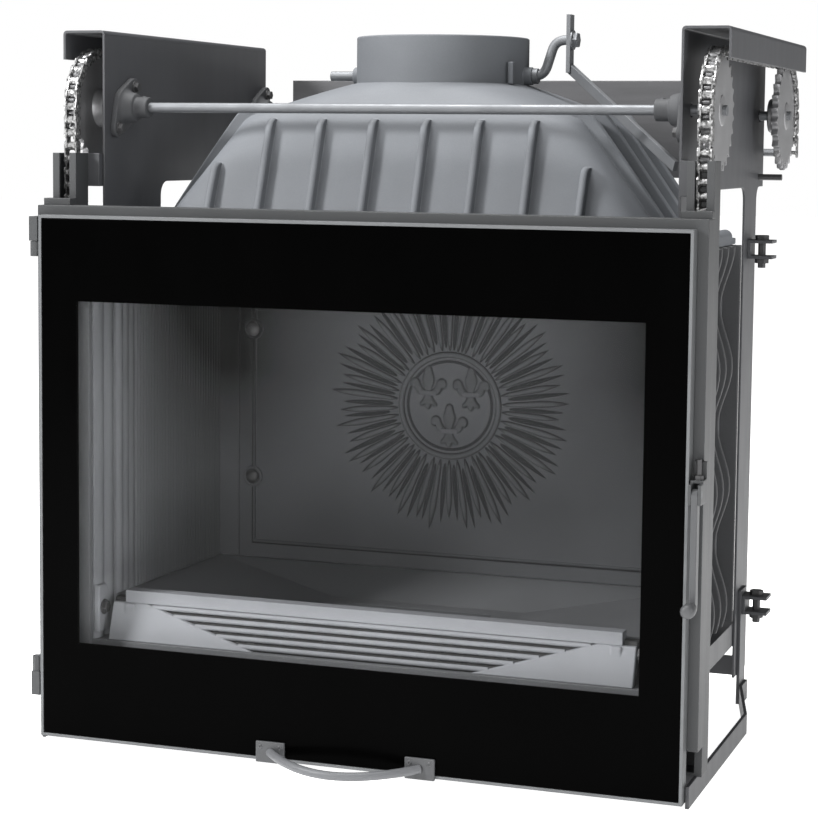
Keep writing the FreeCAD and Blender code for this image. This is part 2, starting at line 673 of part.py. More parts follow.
def latch_bracket():
    """Two ears on the right stile, a web behind them and the pin that the lever turns on."""
    inner, _, outer = latch_x()
    low = LATCH_PIVOT_HEIGHT - LATCH_EAR_HEIGHT / 2
    high = LATCH_PIVOT_HEIGHT + LATCH_EAR_HEIGHT / 2
    front = -LATCH_PIVOT_FORWARD - LATCH_LEVER_DEPTH / 2
    web_front = LIFT_FRONT - LATCH_EAR
    ears = [box(x, x + LATCH_EAR, front, LIFT_FRONT, low, high) for x in (inner, outer)]
    web = box(inner, outer + LATCH_EAR, web_front, LIFT_FRONT, low, high + LATCH_SCREW_HEIGHT)
    shelf = box(inner, outer + LATCH_EAR, 0, LIFT_FRONT, high, high + LATCH_EAR)
    body = fuse(ears + [web, shelf])
    return body.cut(rod_x(LATCH_PIN_RADIUS, inner, outer + LATCH_EAR, -LATCH_PIVOT_FORWARD,
                          LATCH_PIVOT_HEIGHT))


def latch_pin():
    inner, _, outer = latch_x()
    return rod_x(LATCH_PIN_RADIUS, inner, outer + LATCH_EAR, -LATCH_PIVOT_FORWARD,
                 LATCH_PIVOT_HEIGHT)


def latch_screw():
    """Adjusting screw with its nut on the shelf of the latch bracket."""
    inner, _, outer = latch_x()
    x = (inner + outer + LATCH_EAR) / 2
    y = (LIFT_FRONT - LATCH_EAR) / 2
    bottom = LATCH_PIVOT_HEIGHT + LATCH_EAR_HEIGHT / 2 + LATCH_EAR
    screw = prism_z(polygon(LATCH_SCREW_RADIUS, ROUND_SIDES, x, y), bottom, bottom + LATCH_SCREW_HEIGHT)
    nut = prism_z(polygon(LATCH_NUT_RADIUS, HEX_SIDES, x, y), bottom, bottom + LATCH_NUT_HEIGHT)
    return fuse([nut, screw])


def latch_lever():
    _, lever, _ = latch_x()
    right = lever + LATCH_LEVER_WIDTH
    y = -LATCH_PIVOT_FORWARD
    bottom = LATCH_PIVOT_HEIGHT - LATCH_LEVER_LENGTH
    half = LATCH_LEVER_DEPTH / 2
    arm = box(lever, right, y - half, y + half, bottom, LATCH_PIVOT_HEIGHT)
    eye = prism_x(polygon(half, ROUND_SIDES, y, LATCH_PIVOT_HEIGHT), lever, right)
    foot = prism_x(polygon(half, ROUND_SIDES, y, bottom), lever, right)
    bore = rod_x(LATCH_PIN_RADIUS + RUNNING_FIT, lever, right, y, LATCH_PIVOT_HEIGHT)
    return fuse([arm, eye, foot]).cut(bore)


def latch_knob():
    """Round knob on the front of the lever's lower end, with a waisted neck."""
    _, lever, _ = latch_x()
    x = lever + LATCH_LEVER_WIDTH / 2
    z = LATCH_PIVOT_HEIGHT - LATCH_LEVER_LENGTH
    back = -LATCH_PIVOT_FORWARD - LATCH_LEVER_DEPTH / 2
    front = back - LATCH_KNOB_LENGTH
    neck = prism_y(polygon(LATCH_KNOB_NECK_RADIUS, ROUND_SIDES, x, z), back - LATCH_KNOB_NECK_LENGTH, back)
    head = prism_y(polygon(LATCH_KNOB_RADIUS, ROUND_SIDES, x, z), front, back - LATCH_KNOB_NECK_LENGTH)
    return fuse([neck, head])


# Chain drive

def roller_places():
    """Centres of the chain's rollers as (depth, height), from the door to the counterweight."""
    places = [(FRONT_RUN_DEPTH, SHAFT_HEIGHT - k * PITCH) for k in range(FRONT_RUN_LINKS, 0, -1)]
    wrap = TEETH // 4
    for k in range(wrap + 1):
        angle = pi - k * TOOTH_ANGLE
        places.append((SHAFT_DEPTH + PITCH_RADIUS * cos(angle),
                       SHAFT_HEIGHT + PITCH_RADIUS * sin(angle)))
    for k in range(1, TOP_RUN_LINKS):
        places.append((SHAFT_DEPTH - PITCH / 2 + k * PITCH, SHAFT_HEIGHT + PITCH_RADIUS))
    for k in range(wrap, -1, -1):
        angle = k * TOOTH_ANGLE
        places.append((REAR_SHAFT_DEPTH + PITCH_RADIUS * cos(angle),
                       SHAFT_HEIGHT + PITCH_RADIUS * sin(angle)))
    places += [(REAR_RUN_DEPTH, SHAFT_HEIGHT - k * PITCH) for k in range(1, REAR_RUN_LINKS + 1)]
    return places


def link_plates(inside):
    half_height = CHAIN_PLATE_HEIGHT / 2
    plate = box(inside, inside + CHAIN_PLATE, -half_height, PITCH + half_height, -half_height,
                half_height)
    return [plate, mirrored(plate)]


def inner_link():
    half_width = CHAIN_INNER_WIDTH / 2
    rollers = []
    for y in (0, PITCH):
        rollers.append(prism_x(polygon(ROLLER_RADIUS, ROLLER_SIDES, y, 0), -half_width, half_width))
    return Part.makeCompound(link_plates(half_width) + rollers)


def outer_link():
    return Part.makeCompound(link_plates(OUTER_PLATE_INSIDE))


def chain(x):
    """Inner and outer links by turns, the first and the last of them outer ones."""
    kinds = (outer_link(), inner_link())
    links = []
    places = roller_places()
    for number, (start, end) in enumerate(zip(places, places[1:])):
        link = kinds[number % 2].copy()
        turn = FreeCAD.Rotation(V(0, 1, 0), V(0, end[0] - start[0], end[1] - start[1]))
        link.Placement = FreeCAD.Placement(V(x, start[0], start[1]), turn)
        links.append(link)
    return Part.makeCompound(links)


def sprocket(depth):
    """Toothed disc with a hub on its inner side, on the right of the part."""
    root = PITCH_RADIUS - ROLLER_RADIUS - TOOTH_CLEARANCE
    outline = []
    for k in range(TEETH):
        angle = (k + 0.5) * TOOTH_ANGLE
        tooth = ((root, -TOOTH_ROOT_HALF), (root + TOOTH_HEIGHT, -TOOTH_TIP_HALF),
                 (root + TOOTH_HEIGHT, TOOTH_TIP_HALF), (root, TOOTH_ROOT_HALF))
        for out, side in tooth:
            outline.append((depth + out * cos(angle) - side * sin(angle),
                            SHAFT_HEIGHT + out * sin(angle) + side * cos(angle)))
    inner = RAIL_X - SPROCKET_THICKNESS / 2
    disc = prism_x(outline, inner, RAIL_X + SPROCKET_THICKNESS / 2)
    hub = prism_x(polygon(HUB_RADIUS, ROUND_SIDES, depth, SHAFT_HEIGHT), inner - HUB_LENGTH, inner)
    bore = rod_x(SHAFT_RADIUS, inner - HUB_LENGTH, RAIL_X + SPROCKET_THICKNESS, depth, SHAFT_HEIGHT)
    return fuse([disc, hub]).cut(bore)


def shaft_end():
    return RAIL_X + SPROCKET_THICKNESS / 2 + SHAFT_OVERHANG


def drive_shaft():
    return rod_x(SHAFT_RADIUS, -shaft_end(), shaft_end(), SHAFT_DEPTH, SHAFT_HEIGHT)


def stub_shaft():
    return rod_x(SHAFT_RADIUS, PLATE_X - STUB_INNER, shaft_end(), REAR_SHAFT_DEPTH, SHAFT_HEIGHT)


def bearing_bolt_places(depth):
    reach = BEARING_BOLT_SPACING / 2
    turn = radians(BEARING_TILT)
    return [(depth + sign * reach * sin(turn), SHAFT_HEIGHT - sign * reach * cos(turn))
            for sign in (1, -1)]


def bearing(depth):
    """Two-bolt flange bearing on the inner face of the right side plate."""
    face = PLATE_X - BEARING_FLANGE
    centre = V(face, depth, SHAFT_HEIGHT)
    ears = [V(face, y, z) for y, z in bearing_bolt_places(depth)]
    across = (ears[1] - ears[0]).cross(V(1, 0, 0)).normalize()
    waist = across * (BEARING_HUB_RADIUS + BEARING_FLANGE / 2)
    tip = across * BEARING_EAR_RADIUS
    outline = [ears[0] + tip, centre + waist, ears[1] + tip,
               ears[1] - tip, centre - waist, ears[0] - tip]
    hub_start = face - BEARING_HUB_LENGTH
    shapes = [prism(outline, V(BEARING_FLANGE, 0, 0)),
              prism_x(polygon(BEARING_HUB_RADIUS, ROUND_SIDES, depth, SHAFT_HEIGHT), hub_start, face)]
    shapes += [prism_x(polygon(BEARING_EAR_RADIUS, ROUND_SIDES, ear.y, ear.z), face, PLATE_X) for ear in ears]
    return fuse(shapes).cut(rod_x(SHAFT_RADIUS + RUNNING_FIT, hub_start, PLATE_X, depth, SHAFT_HEIGHT))


def bearing_bolts():
    """Bolt heads on the bearing flanges, four on each side plate."""
    face = PLATE_X - BEARING_FLANGE
    bolts = []
    for depth in (SHAFT_DEPTH, REAR_SHAFT_DEPTH):
        for y, z in bearing_bolt_places(depth):
            outline = polygon(BEARING_BOLT_RADIUS, HEX_SIDES, y, z)
            bolts.append(prism_x(outline, face - BOLT_HEAD_HEIGHT, face))
    return both_sides(Part.makeCompound(bolts))


# Frame

def side_plate():
    """Right side plate: the housing over the chain, folded with its outer lip, and two legs."""
    front_leg_rear = HOUSING_FRONT + FRONT_LEG_WIDTH
    rear_leg_rear = REAR_LEG_FRONT + REAR_LEG_WIDTH
    web = box(PLATE_X, PLATE_OUTER, HOUSING_FRONT, HOUSING_REAR, REAR_LEG_BOTTOM, HOUSING_TOP)
    arch = prism_x([(front_leg_rear, REAR_LEG_BOTTOM), (REAR_LEG_FRONT, REAR_LEG_BOTTOM),
                    (REAR_LEG_FRONT, LEG_CUT_TOP - LEG_CUT_RADIUS),
                    (REAR_LEG_FRONT - LEG_CUT_RADIUS, LEG_CUT_TOP),
                    (front_leg_rear + LEG_CUT_RADIUS, LEG_CUT_TOP),
                    (front_leg_rear, LEG_CUT_TOP - LEG_CUT_RADIUS)], PLATE_X, PLATE_OUTER)
    rear_notch = box(PLATE_X, PLATE_OUTER, rear_leg_rear, HOUSING_REAR, REAR_LEG_BOTTOM, LEG_CUT_TOP)
    hole = SHAFT_RADIUS + SHAFT_HOLE_CLEARANCE
    holes = [prism_x(polygon(hole, ROUND_SIDES, depth, SHAFT_HEIGHT), PLATE_X, PLATE_OUTER)
             for depth in (SHAFT_DEPTH, REAR_SHAFT_DEPTH)]
    roof = box(PLATE_X, HOUSING_OUTER, HOUSING_FRONT, HOUSING_REAR, HOUSING_TOP - PLATE_THICKNESS,
               HOUSING_TOP)
    lip = box(HOUSING_OUTER - PLATE_THICKNESS, HOUSING_OUTER, HOUSING_FRONT, HOUSING_REAR,
              HOUSING_TOP - HOUSING_LIP, HOUSING_TOP)
    return fuse([web.cut(arch).cut(rear_notch), roof, lip]).cut(Part.makeCompound(holes))


def guide_rail():
    """Right guide rail: a channel with lips, open to the front, on a foot plate."""
    half = RAIL_WIDTH / 2
    bottom = FOOT_BAR_HEIGHT + RAIL_FOOT
    body = box(RAIL_X - half, RAIL_X + half, RAIL_FRONT, RAIL_BACK, bottom, RAIL_TOP)
    hollow = box(RAIL_X - half + RAIL_WALL, RAIL_X + half - RAIL_WALL, RAIL_FRONT + RAIL_WALL,
                 RAIL_BACK - RAIL_WALL, bottom, RAIL_TOP)
    slot = box(RAIL_X - RAIL_SLOT / 2, RAIL_X + RAIL_SLOT / 2, RAIL_FRONT, RAIL_FRONT + RAIL_WALL,
               bottom, RAIL_TOP)
    foot = box(RAIL_X - half, RAIL_X + half, RAIL_FRONT, RAIL_BACK, FOOT_BAR_HEIGHT, bottom)
    return fuse([body.cut(hollow).cut(slot), foot])


def rail_brackets():
    """Angle brackets that hold each guide rail to the front leg of its side plate."""
    brackets = []
    top = RAIL_TOP - BRACKET_HEIGHT
    bottom = FOOT_BAR_HEIGHT + 2 * BRACKET_HEIGHT
    for z in (top, bottom):
        flat = box(PLATE_OUTER, PLATE_OUTER + BRACKET_WALL, RAIL_BACK, HOUSING_FRONT + BRACKET_REACH,
                   z, z + BRACKET_HEIGHT)
        arm = box(PLATE_OUTER, RAIL_X, RAIL_BACK, RAIL_BACK + BRACKET_WALL, z, z + BRACKET_HEIGHT)
        brackets.append(fuse([flat, arm]))
    return both_sides(Part.makeCompound(brackets))


def rear_foot_front():
    return REAR_LEG_FRONT + REAR_FOOT_SET


def rear_feet():
    """Adjustable foot strip on the outside of each rear leg, down to the floor."""
    foot = box(PLATE_OUTER, PLATE_OUTER + FOOT_BAR_THICKNESS, rear_foot_front(),
               rear_foot_front() + REAR_FOOT_WIDTH, 0, REAR_FOOT_HEIGHT)
    return both_sides(foot)


def foot_bar():
    """Right foot bar: along the floor beside the door, then bent in to the rear foot."""
    inner = FOOT_OUTER_X - FOOT_BAR_THICKNESS
    foot_x = PLATE_OUTER + FOOT_BAR_THICKNESS
    end = rear_foot_front() + REAR_FOOT_WIDTH
    outer_edge = [(FOOT_OUTER_X, FOOT_FRONT), (FOOT_OUTER_X, FOOT_BEND),
                  (foot_x + FOOT_BAR_THICKNESS, rear_foot_front()), (foot_x + FOOT_BAR_THICKNESS, end)]
    inner_edge = [(foot_x, end), (foot_x, rear_foot_front()), (inner, FOOT_BEND), (inner, FOOT_FRONT)]
    return prism_z(outer_edge + inner_edge, 0, FOOT_BAR_HEIGHT)


def front_cross_bar():
    inner = FOOT_OUTER_X - FOOT_BAR_THICKNESS
    return box(-inner, inner, RAIL_BACK, RAIL_BACK + FOOT_BAR_THICKNESS, 0, CROSS_BAR)


def rear_cross_bar():
    y = rear_foot_front()
    return box(-PLATE_X, PLATE_X, y, y + FOOT_BAR_THICKNESS, REAR_LEG_BOTTOM, REAR_LEG_BOTTOM + CROSS_BAR)


def side_rail():
    """Right angle bar that carries the firebox, between the legs of the side plate."""
    outline = [(PLATE_X, BASE_BOTTOM), (PLATE_X - ANGLE_SIZE, BASE_BOTTOM),
               (PLATE_X - ANGLE_SIZE, BASE_BOTTOM - ANGLE_WALL),
               (PLATE_X - ANGLE_WALL, BASE_BOTTOM - ANGLE_WALL),
               (PLATE_X - ANGLE_WALL, BASE_BOTTOM - ANGLE_SIZE), (PLATE_X, BASE_BOTTOM - ANGLE_SIZE)]
    points = [V(x, HOUSING_FRONT, z) for x, z in outline]
    return prism(points, V(0, REAR_LEG_FRONT + REAR_LEG_WIDTH - HOUSING_FRONT, 0))


def clamp_front():
    return REAR_LEG_FRONT + (REAR_LEG_WIDTH - CLAMP_DEPTH) / 2


def frame_clamps():
    """Channel clamps on the outside of the rear legs, two on each side."""
    clamps = []
    y = clamp_front()
    for z in (CLAMP_UPPER, CLAMP_LOWER):
        start = PLATE_OUTER + (FOOT_BAR_THICKNESS if z < REAR_FOOT_HEIGHT else 0)
        ears = [box(start, start + CLAMP_REACH, y, y + CLAMP_DEPTH, level, level + CLAMP_WALL)
                for level in (z, z + CLAMP_HEIGHT - CLAMP_WALL)]
        web = box(start, start + CLAMP_WALL, y, y + CLAMP_DEPTH, z, z + CLAMP_HEIGHT)
        bolt = prism_z(polygon(CLAMP_BOLT_RADIUS, HEX_SIDES, start + CLAMP_REACH / 2, y + CLAMP_DEPTH / 2),
                       z, z + CLAMP_HEIGHT)
        clamps.append(fuse(ears + [web]).cut(bolt))
    return both_sides(Part.makeCompound(clamps))


def clamp_bolts():
    bolts = []
    y = clamp_front() + CLAMP_DEPTH / 2
    for z in (CLAMP_UPPER, CLAMP_LOWER):
        x = PLATE_OUTER + CLAMP_REACH / 2 + (FOOT_BAR_THICKNESS if z < REAR_FOOT_HEIGHT else 0)
        top = z + CLAMP_HEIGHT
        outline = polygon(BOLT_HEAD_RADIUS, HEX_SIDES, x, y)
        shank = prism_z(polygon(CLAMP_BOLT_RADIUS, HEX_SIDES, x, y), z - 2 * BOLT_HEAD_HEIGHT, top)
        head = prism_z(outline, top, top + BOLT_HEAD_HEIGHT)
        nut = prism_z(outline, z - BOLT_HEAD_HEIGHT, z)
        bolts.append(fuse([shank, head, nut]))
    return both_sides(Part.makeCompound(bolts))


def guard_pins():
    """Pin under each rear sprocket that keeps the slack chain off the plate."""
    z = SHAFT_HEIGHT - PITCH_RADIUS - TOOTH_HEIGHT
    pin = prism_x(polygon(GUARD_PIN_RADIUS, ROUND_SIDES, REAR_SHAFT_DEPTH, z - GUARD_PIN_RADIUS), PLATE_OUTER,
                  RAIL_X)
    return both_sides(pin)


# Firebox

def mouth_frame():
    return ring(MOUTH_FRAME_HALF_WIDTH, MOUTH_FRAME_BOTTOM, MOUTH_FRAME_TOP, MOUTH_HALF_WIDTH,
                MOUTH_BOTTOM, MOUTH_TOP, MOUTH_FRONT, MOUTH_BACK)


def firebox_wall():
    """Right wall: a splayed plate with upright ribs outside, seen between the legs."""
    outline = [(wall_x(MOUTH_BACK), MOUTH_BACK), (wall_x(MOUTH_BACK) + CASTING, MOUTH_BACK),
               (wall_x(REAR_WALL_FRONT) + CASTING, REAR_WALL_FRONT),
               (wall_x(REAR_WALL_FRONT), REAR_WALL_FRONT)]
    shapes = [prism_z(outline, BASE_TOP, FIREBOX_TOP)]
    for k in range(WALL_RIB_COUNT):
        y = WALL_RIB_FIRST + k * WALL_RIB_PITCH
        x = wall_x(y) + CASTING / 2
        shapes.append(box(x, x + CASTING / 2 + WALL_RIB, y, y + CASTING, BASE_TOP, FIREBOX_TOP))
    return fuse(shapes)


def rear_wall():
    half = wall_x(REAR_WALL_FRONT) + CASTING
    shapes = [box(-half, half, REAR_WALL_FRONT, FIREBOX_REAR, BASE_TOP, FIREBOX_TOP)]
    pitch = 2 * half / (REAR_RIB_COUNT + 1)
    for k in range(REAR_RIB_COUNT):
        x = -half + (k + 1) * pitch
        shapes.append(box(x - CASTING / 2, x + CASTING / 2, FIREBOX_REAR, FIREBOX_REAR + WALL_RIB,
                          BASE_TOP, FIREBOX_TOP))
    return fuse(shapes)


def liner():
    """Right liner: a plate with upright flutes on the fire side, and a strip across the corner."""
    length = FIREBACK_FRONT - LINER_FRONT
    flute = length / FLUTE_COUNT
    outline = [(wall_x(LINER_FRONT), LINER_FRONT), (wall_x(FIREBACK_FRONT), FIREBACK_FRONT)]
    for k in range(FLUTE_COUNT, 0, -1):
        ridge = LINER_FRONT + k * flute
        groove = ridge - flute / 2
        outline.append((liner_x(ridge), ridge))
        outline.append((liner_x(groove) + FLUTE_DEPTH, groove))
    outline.append((liner_x(LINER_FRONT), LINER_FRONT))
    corner = box(fireback_half_width() + HEARTH_GAP, liner_x(FIREBACK_FRONT) + LINER_THICKNESS / 2,
                 FIREBACK_FRONT, FIREBACK_FRONT + CASTING, HEARTH_RIM, FIREBOX_TOP)
    return fuse([prism_z(outline, BASE_TOP, FIREBOX_TOP), corner])


def fireback_half_width():
    return liner_x(FIREBACK_FRONT) - FIREBACK_SIDE_GAP


def fireback():
    """Cast back plate with a raised border, a round medallion and rays about it."""
    half = fireback_half_width()
    back = FIREBACK_FRONT + CASTING
    face = FIREBACK_FRONT - FIREBACK_RELIEF
    plate = box(-half, half, FIREBACK_FRONT, back, HEARTH_RIM, FIREBOX_TOP)
    inner = half - FIREBACK_BORDER
    border = ring(half, HEARTH_RIM, FIREBOX_TOP, inner, HEARTH_RIM + FIREBACK_BORDER,
                  FIREBOX_TOP - FIREBACK_BORDER, face, FIREBACK_FRONT)
    disc = prism_y(polygon(MEDALLION_RADIUS, MEDALLION_SIDES, 0, MEDALLION_HEIGHT), face, FIREBACK_FRONT)
    rays = []
    for k in range(RAY_COUNT):
        angle = 2 * pi * k / RAY_COUNT
        reach = RAY_RADIUS if k % 2 else RAY_RADIUS - RAY_SHORTER
        root = MEDALLION_RADIUS - RAY_OVERLAP
        shoulder = reach - RAY_TIP_HALF
        corners = ((root, -RAY_ROOT_HALF), (shoulder, -RAY_TIP_HALF), (reach, 0),
                   (shoulder, RAY_TIP_HALF), (root, RAY_ROOT_HALF))
        points = [V(r * cos(angle) - s * sin(angle), face,
                    MEDALLION_HEIGHT + r * sin(angle) + s * cos(angle)) for r, s in corners]
        rays.append(prism(points, V(0, FIREBACK_RELIEF, 0)))
    return fuse([plate, border, disc] + rays)


def fireback_bolts():
    """Long bolts that hold the fireback off the rear wall, with their heads on its border."""
    x = fireback_half_width() - FIREBACK_BOLT_INSET
    face = FIREBACK_FRONT - FIREBACK_RELIEF
    low = HEARTH_RIM + FIREBACK_BOLT_RISE
    high = FIREBOX_TOP - FIREBACK_BOLT_DROP
    bolts = []
    for z in (low, high):
        outline = polygon(BOLT_HEAD_RADIUS, ROUND_SIDES, x, z)
        head = prism_y(outline, face - BOLT_HEAD_HEIGHT, face)
        spacer = prism_y(outline, FIREBACK_FRONT + CASTING, REAR_WALL_FRONT)
        bolts += [head, spacer]
    return both_sides(Part.makeCompound(bolts))


def plan(half_front, half_rear, front, rear, height):
    """Corners of a part of the firebox at one height, wider at the front than at the back."""
    corners = ((half_front, front), (half_rear, rear), (-half_rear, rear), (-half_front, front))
    return [V(x, y, height) for x, y in corners]


def hearth_base():
    """Base casting: a plate under the walls and a funnel floor that falls to the grate."""
    front_half = wall_x(MOUTH_BACK) + CASTING
    rear_half = wall_x(FIREBOX_REAR) + CASTING
    slab = prism(plan(front_half, rear_half, MOUTH_BACK, FIREBOX_REAR, BASE_BOTTOM), V(0, 0, BASE_THICKNESS))
    rim_front = liner_x(HEARTH_FRONT) - HEARTH_GAP
    rim_rear = liner_x(FIREBACK_FRONT) - HEARTH_GAP
    rear = FIREBACK_FRONT + CASTING
    splay = (rim_front - rim_rear) / (rear - HEARTH_FRONT)
    floor_rear = HEARTH_FLOOR_HALF_WIDTH - splay * (HEARTH_FLOOR_REAR - HEARTH_FLOOR_FRONT)
    block = tapered(plan(HEARTH_FLOOR_HALF_WIDTH + CASTING, floor_rear + CASTING - 2 * splay * CASTING,
                         HEARTH_FLOOR_FRONT - CASTING, HEARTH_FLOOR_REAR + CASTING, BASE_TOP),
                    plan(rim_front, rim_rear, HEARTH_FRONT, rear, HEARTH_RIM))
    mouth_rear = rear - 2 * CASTING
    mouth_half = rim_front - CASTING - splay * CASTING
    funnel = tapered(plan(HEARTH_FLOOR_HALF_WIDTH, floor_rear, HEARTH_FLOOR_FRONT, HEARTH_FLOOR_REAR,
                          HEARTH_FLOOR),
                     plan(mouth_half, mouth_half - splay * (mouth_rear - HEARTH_FRONT - CASTING),
                          HEARTH_FRONT + CASTING, mouth_rear, HEARTH_RIM))
    seat = box(-GRATE_HALF_WIDTH, GRATE_HALF_WIDTH, GRATE_FRONT, GRATE_FRONT + GRATE_DEPTH,
               HEARTH_FLOOR - GRATE_THICKNESS, HEARTH_RIM)
    drop = box(-GRATE_HALF_WIDTH + GRATE_LEDGE, GRATE_HALF_WIDTH - GRATE_LEDGE, GRATE_FRONT + GRATE_LEDGE,
               GRATE_FRONT + GRATE_DEPTH - GRATE_LEDGE, BASE_BOTTOM, HEARTH_RIM)
    return fuse([slab, block]).cut(funnel).cut(seat).cut(drop)


def grate():
    half = GRATE_HALF_WIDTH - SHOE_CLEARANCE
    body = box(-half, half, GRATE_FRONT + SHOE_CLEARANCE, GRATE_FRONT + GRATE_DEPTH - SHOE_CLEARANCE,
               HEARTH_FLOOR - GRATE_THICKNESS, HEARTH_FLOOR)
    pitch = 2 * (half - GRATE_LEDGE) / GRATE_SLOTS
    slots = []
    for k in range(GRATE_SLOTS):
        x = -half + GRATE_LEDGE + k * pitch
        slots.append(box(x + pitch / 4, x + 3 * pitch / 4, GRATE_FRONT + GRATE_SLOT_END,
                         GRATE_FRONT + GRATE_DEPTH - GRATE_SLOT_END, HEARTH_FLOOR - GRATE_THICKNESS,
                         HEARTH_FLOOR))
    return body.cut(Part.makeCompound(slots))


def ash_box():
    """Sheet box under the grate, open at the top against the base casting."""
    half = GRATE_HALF_WIDTH
    rear = GRATE_FRONT + GRATE_DEPTH
    body = box(-half, half, GRATE_FRONT, rear, BASE_BOTTOM - ASH_BOX_DEPTH, BASE_BOTTOM)
    room_half = half - SHEET_THICKNESS
    return body.cut(box(-room_half, room_half, GRATE_FRONT + SHEET_THICKNESS, rear - SHEET_THICKNESS,
                        BASE_BOTTOM - ASH_BOX_DEPTH + SHEET_THICKNESS, BASE_BOTTOM))


def sill_depth(height):
    """Front face of the sill, which leans back as it rises."""
    top_front = HEARTH_FRONT - SILL_THICKNESS
    return SILL_FRONT + (top_front - SILL_FRONT) * (height - BASE_TOP) / (HEARTH_RIM - BASE_TOP)


def front_sill():
    """Leaning sill in the mouth, with louvre ribs between two triangular cheeks."""
    outline = [(sill_depth(BASE_TOP), BASE_TOP), (sill_depth(HEARTH_RIM), HEARTH_RIM),
               (HEARTH_FRONT, HEARTH_RIM), (sill_depth(BASE_TOP) + SILL_THICKNESS, BASE_TOP)]
    shapes = [prism_x(outline, -SILL_HALF_WIDTH, SILL_HALF_WIDTH)]
    pitch = (HEARTH_RIM - BASE_TOP) / (SILL_RIBS + 1)
    for k in range(SILL_RIBS):
        z = BASE_TOP + SILL_FIRST_RIB + k * pitch
        share = (HEARTH_RIM - z) / (HEARTH_RIM - BASE_TOP)
        half = SILL_HALF_WIDTH - SILL_CHEEK_TOP - share * (SILL_CHEEK_BOTTOM - SILL_CHEEK_TOP)
        half += SILL_RIB_LAP
        rib = [(sill_depth(z) - SILL_RIB_DEPTH, z), (sill_depth(z) + SILL_THICKNESS / 2, z),
               (sill_depth(z + SILL_RIB_HEIGHT) + SILL_THICKNESS / 2, z + SILL_RIB_HEIGHT)]
        shapes.append(prism_x(rib, -half, half))
    lean = V(0, SILL_RIB_DEPTH, 0)
    top = HEARTH_RIM - LOG_BAR_LIP
    for sign in (1, -1):
        corners = ((SILL_HALF_WIDTH, BASE_TOP), (SILL_HALF_WIDTH, top),
                   (SILL_HALF_WIDTH - SILL_CHEEK_TOP, top),
                   (SILL_HALF_WIDTH - SILL_CHEEK_BOTTOM, BASE_TOP))
        points = [V(sign * x, sill_depth(z) - SILL_RIB_DEPTH / 2, z) for x, z in corners]
        shapes.append(prism(points, lean))
    return fuse(shapes)


def log_bar():
    """Bar along the top of the sill, with a lip over its front edge."""
    low = HEARTH_RIM - LOG_BAR_LIP
    lip = sill_depth(low)
    top = HEARTH_RIM + LOG_BAR_HEIGHT
    outline = [(lip - LOG_BAR_LIP, low), (lip, low), (lip, HEARTH_RIM), (HEARTH_FRONT, HEARTH_RIM),
               (HEARTH_FRONT, top), (lip - LOG_BAR_LIP, top)]
    half = liner_x(HEARTH_FRONT) - LOG_BAR_END_GAP
    return prism_x(outline, -half, half)


def smoke_baffle():
    """Sloping plate between the liners that sends the smoke forward."""
    front = (BAFFLE_FRONT_DEPTH, FIREBOX_TOP - BAFFLE_FRONT_DROP)
    rear = (FIREBACK_FRONT - BAFFLE_REAR_GAP, FIREBOX_TOP - BAFFLE_REAR_DROP)
    corners = []
    for sign, ends in ((1, (front, rear)), (-1, (rear, front))):
        corners += [V(sign * liner_x(y), y, z) for y, z in ends]
    return prism(corners, V(0, 0, BAFFLE_THICKNESS))


# Hood and damper

def hood_front(height):
    share = (height - HOOD_FLANGE_TOP) / (HOOD_SHOULDER - HOOD_FLANGE_TOP)
    return HOOD_BASE_FRONT + (HOOD_TOP_FRONT - HOOD_BASE_FRONT) * share


def hood_side(height):
    share = (height - HOOD_FLANGE_TOP) / (HOOD_SHOULDER - HOOD_FLANGE_TOP)
    return HOOD_BASE_HALF_WIDTH + (HOOD_TOP_HALF_WIDTH - HOOD_BASE_HALF_WIDTH) * share


def dome(half_width, front, rear, corner, bottom, radius, top):
    """Shallow dome from the hood's shoulder outline to an eight-sided neck."""
    neck_corner = radius * (1 - tan(pi / 8))
    neck = chamfered_outline(radius, COLLAR_DEPTH - radius, COLLAR_DEPTH + radius, neck_corner, top)
    return tapered(chamfered_outline(half_width, front, rear, corner, bottom), neck)


def hood_mass(wall):
    """Hood as a solid, shrunk by a wall: the sloping part and the dome on it."""
    base = chamfered_outline(HOOD_BASE_HALF_WIDTH - wall, HOOD_BASE_FRONT + wall, FIREBOX_REAR - wall,
                             HOOD_CORNER, HOOD_FLANGE_TOP)
    shoulder = chamfered_outline(HOOD_TOP_HALF_WIDTH - wall, HOOD_TOP_FRONT + wall, FIREBOX_REAR - wall,
                                 HOOD_CORNER, HOOD_SHOULDER - wall)
    slope = tapered(base, shoulder)
    cap = dome(HOOD_TOP_HALF_WIDTH - wall, HOOD_TOP_FRONT + wall, FIREBOX_REAR - wall, HOOD_CORNER,
               HOOD_SHOULDER - wall, COLLAR_RADIUS - wall, COLLAR_BASE)
    return slope, cap


def front_ribs():
    ribs = []
    for k in range(HOOD_RIB_COUNT):
        x = (k - (HOOD_RIB_COUNT - 1) / 2) * HOOD_RIB_PITCH
        top = HOOD_SHORT_RIB_TOP if k in (0, HOOD_RIB_COUNT - 1) else HOOD_RIB_TOP
        low = HOOD_FLANGE_TOP
        shoulder = top - 2 * HOOD_RIB_PROUD
        outline = [(hood_front(low) - HOOD_RIB_PROUD, low),
                   (hood_front(shoulder) - HOOD_RIB_PROUD, shoulder),
                   (hood_front(top), top), (hood_front(top) + CASTING / 2, top),
                   (hood_front(low) + CASTING / 2, low)]
        ribs.append(prism_x(outline, x - HOOD_RIB_THICKNESS / 2, x + HOOD_RIB_THICKNESS / 2))
    return ribs


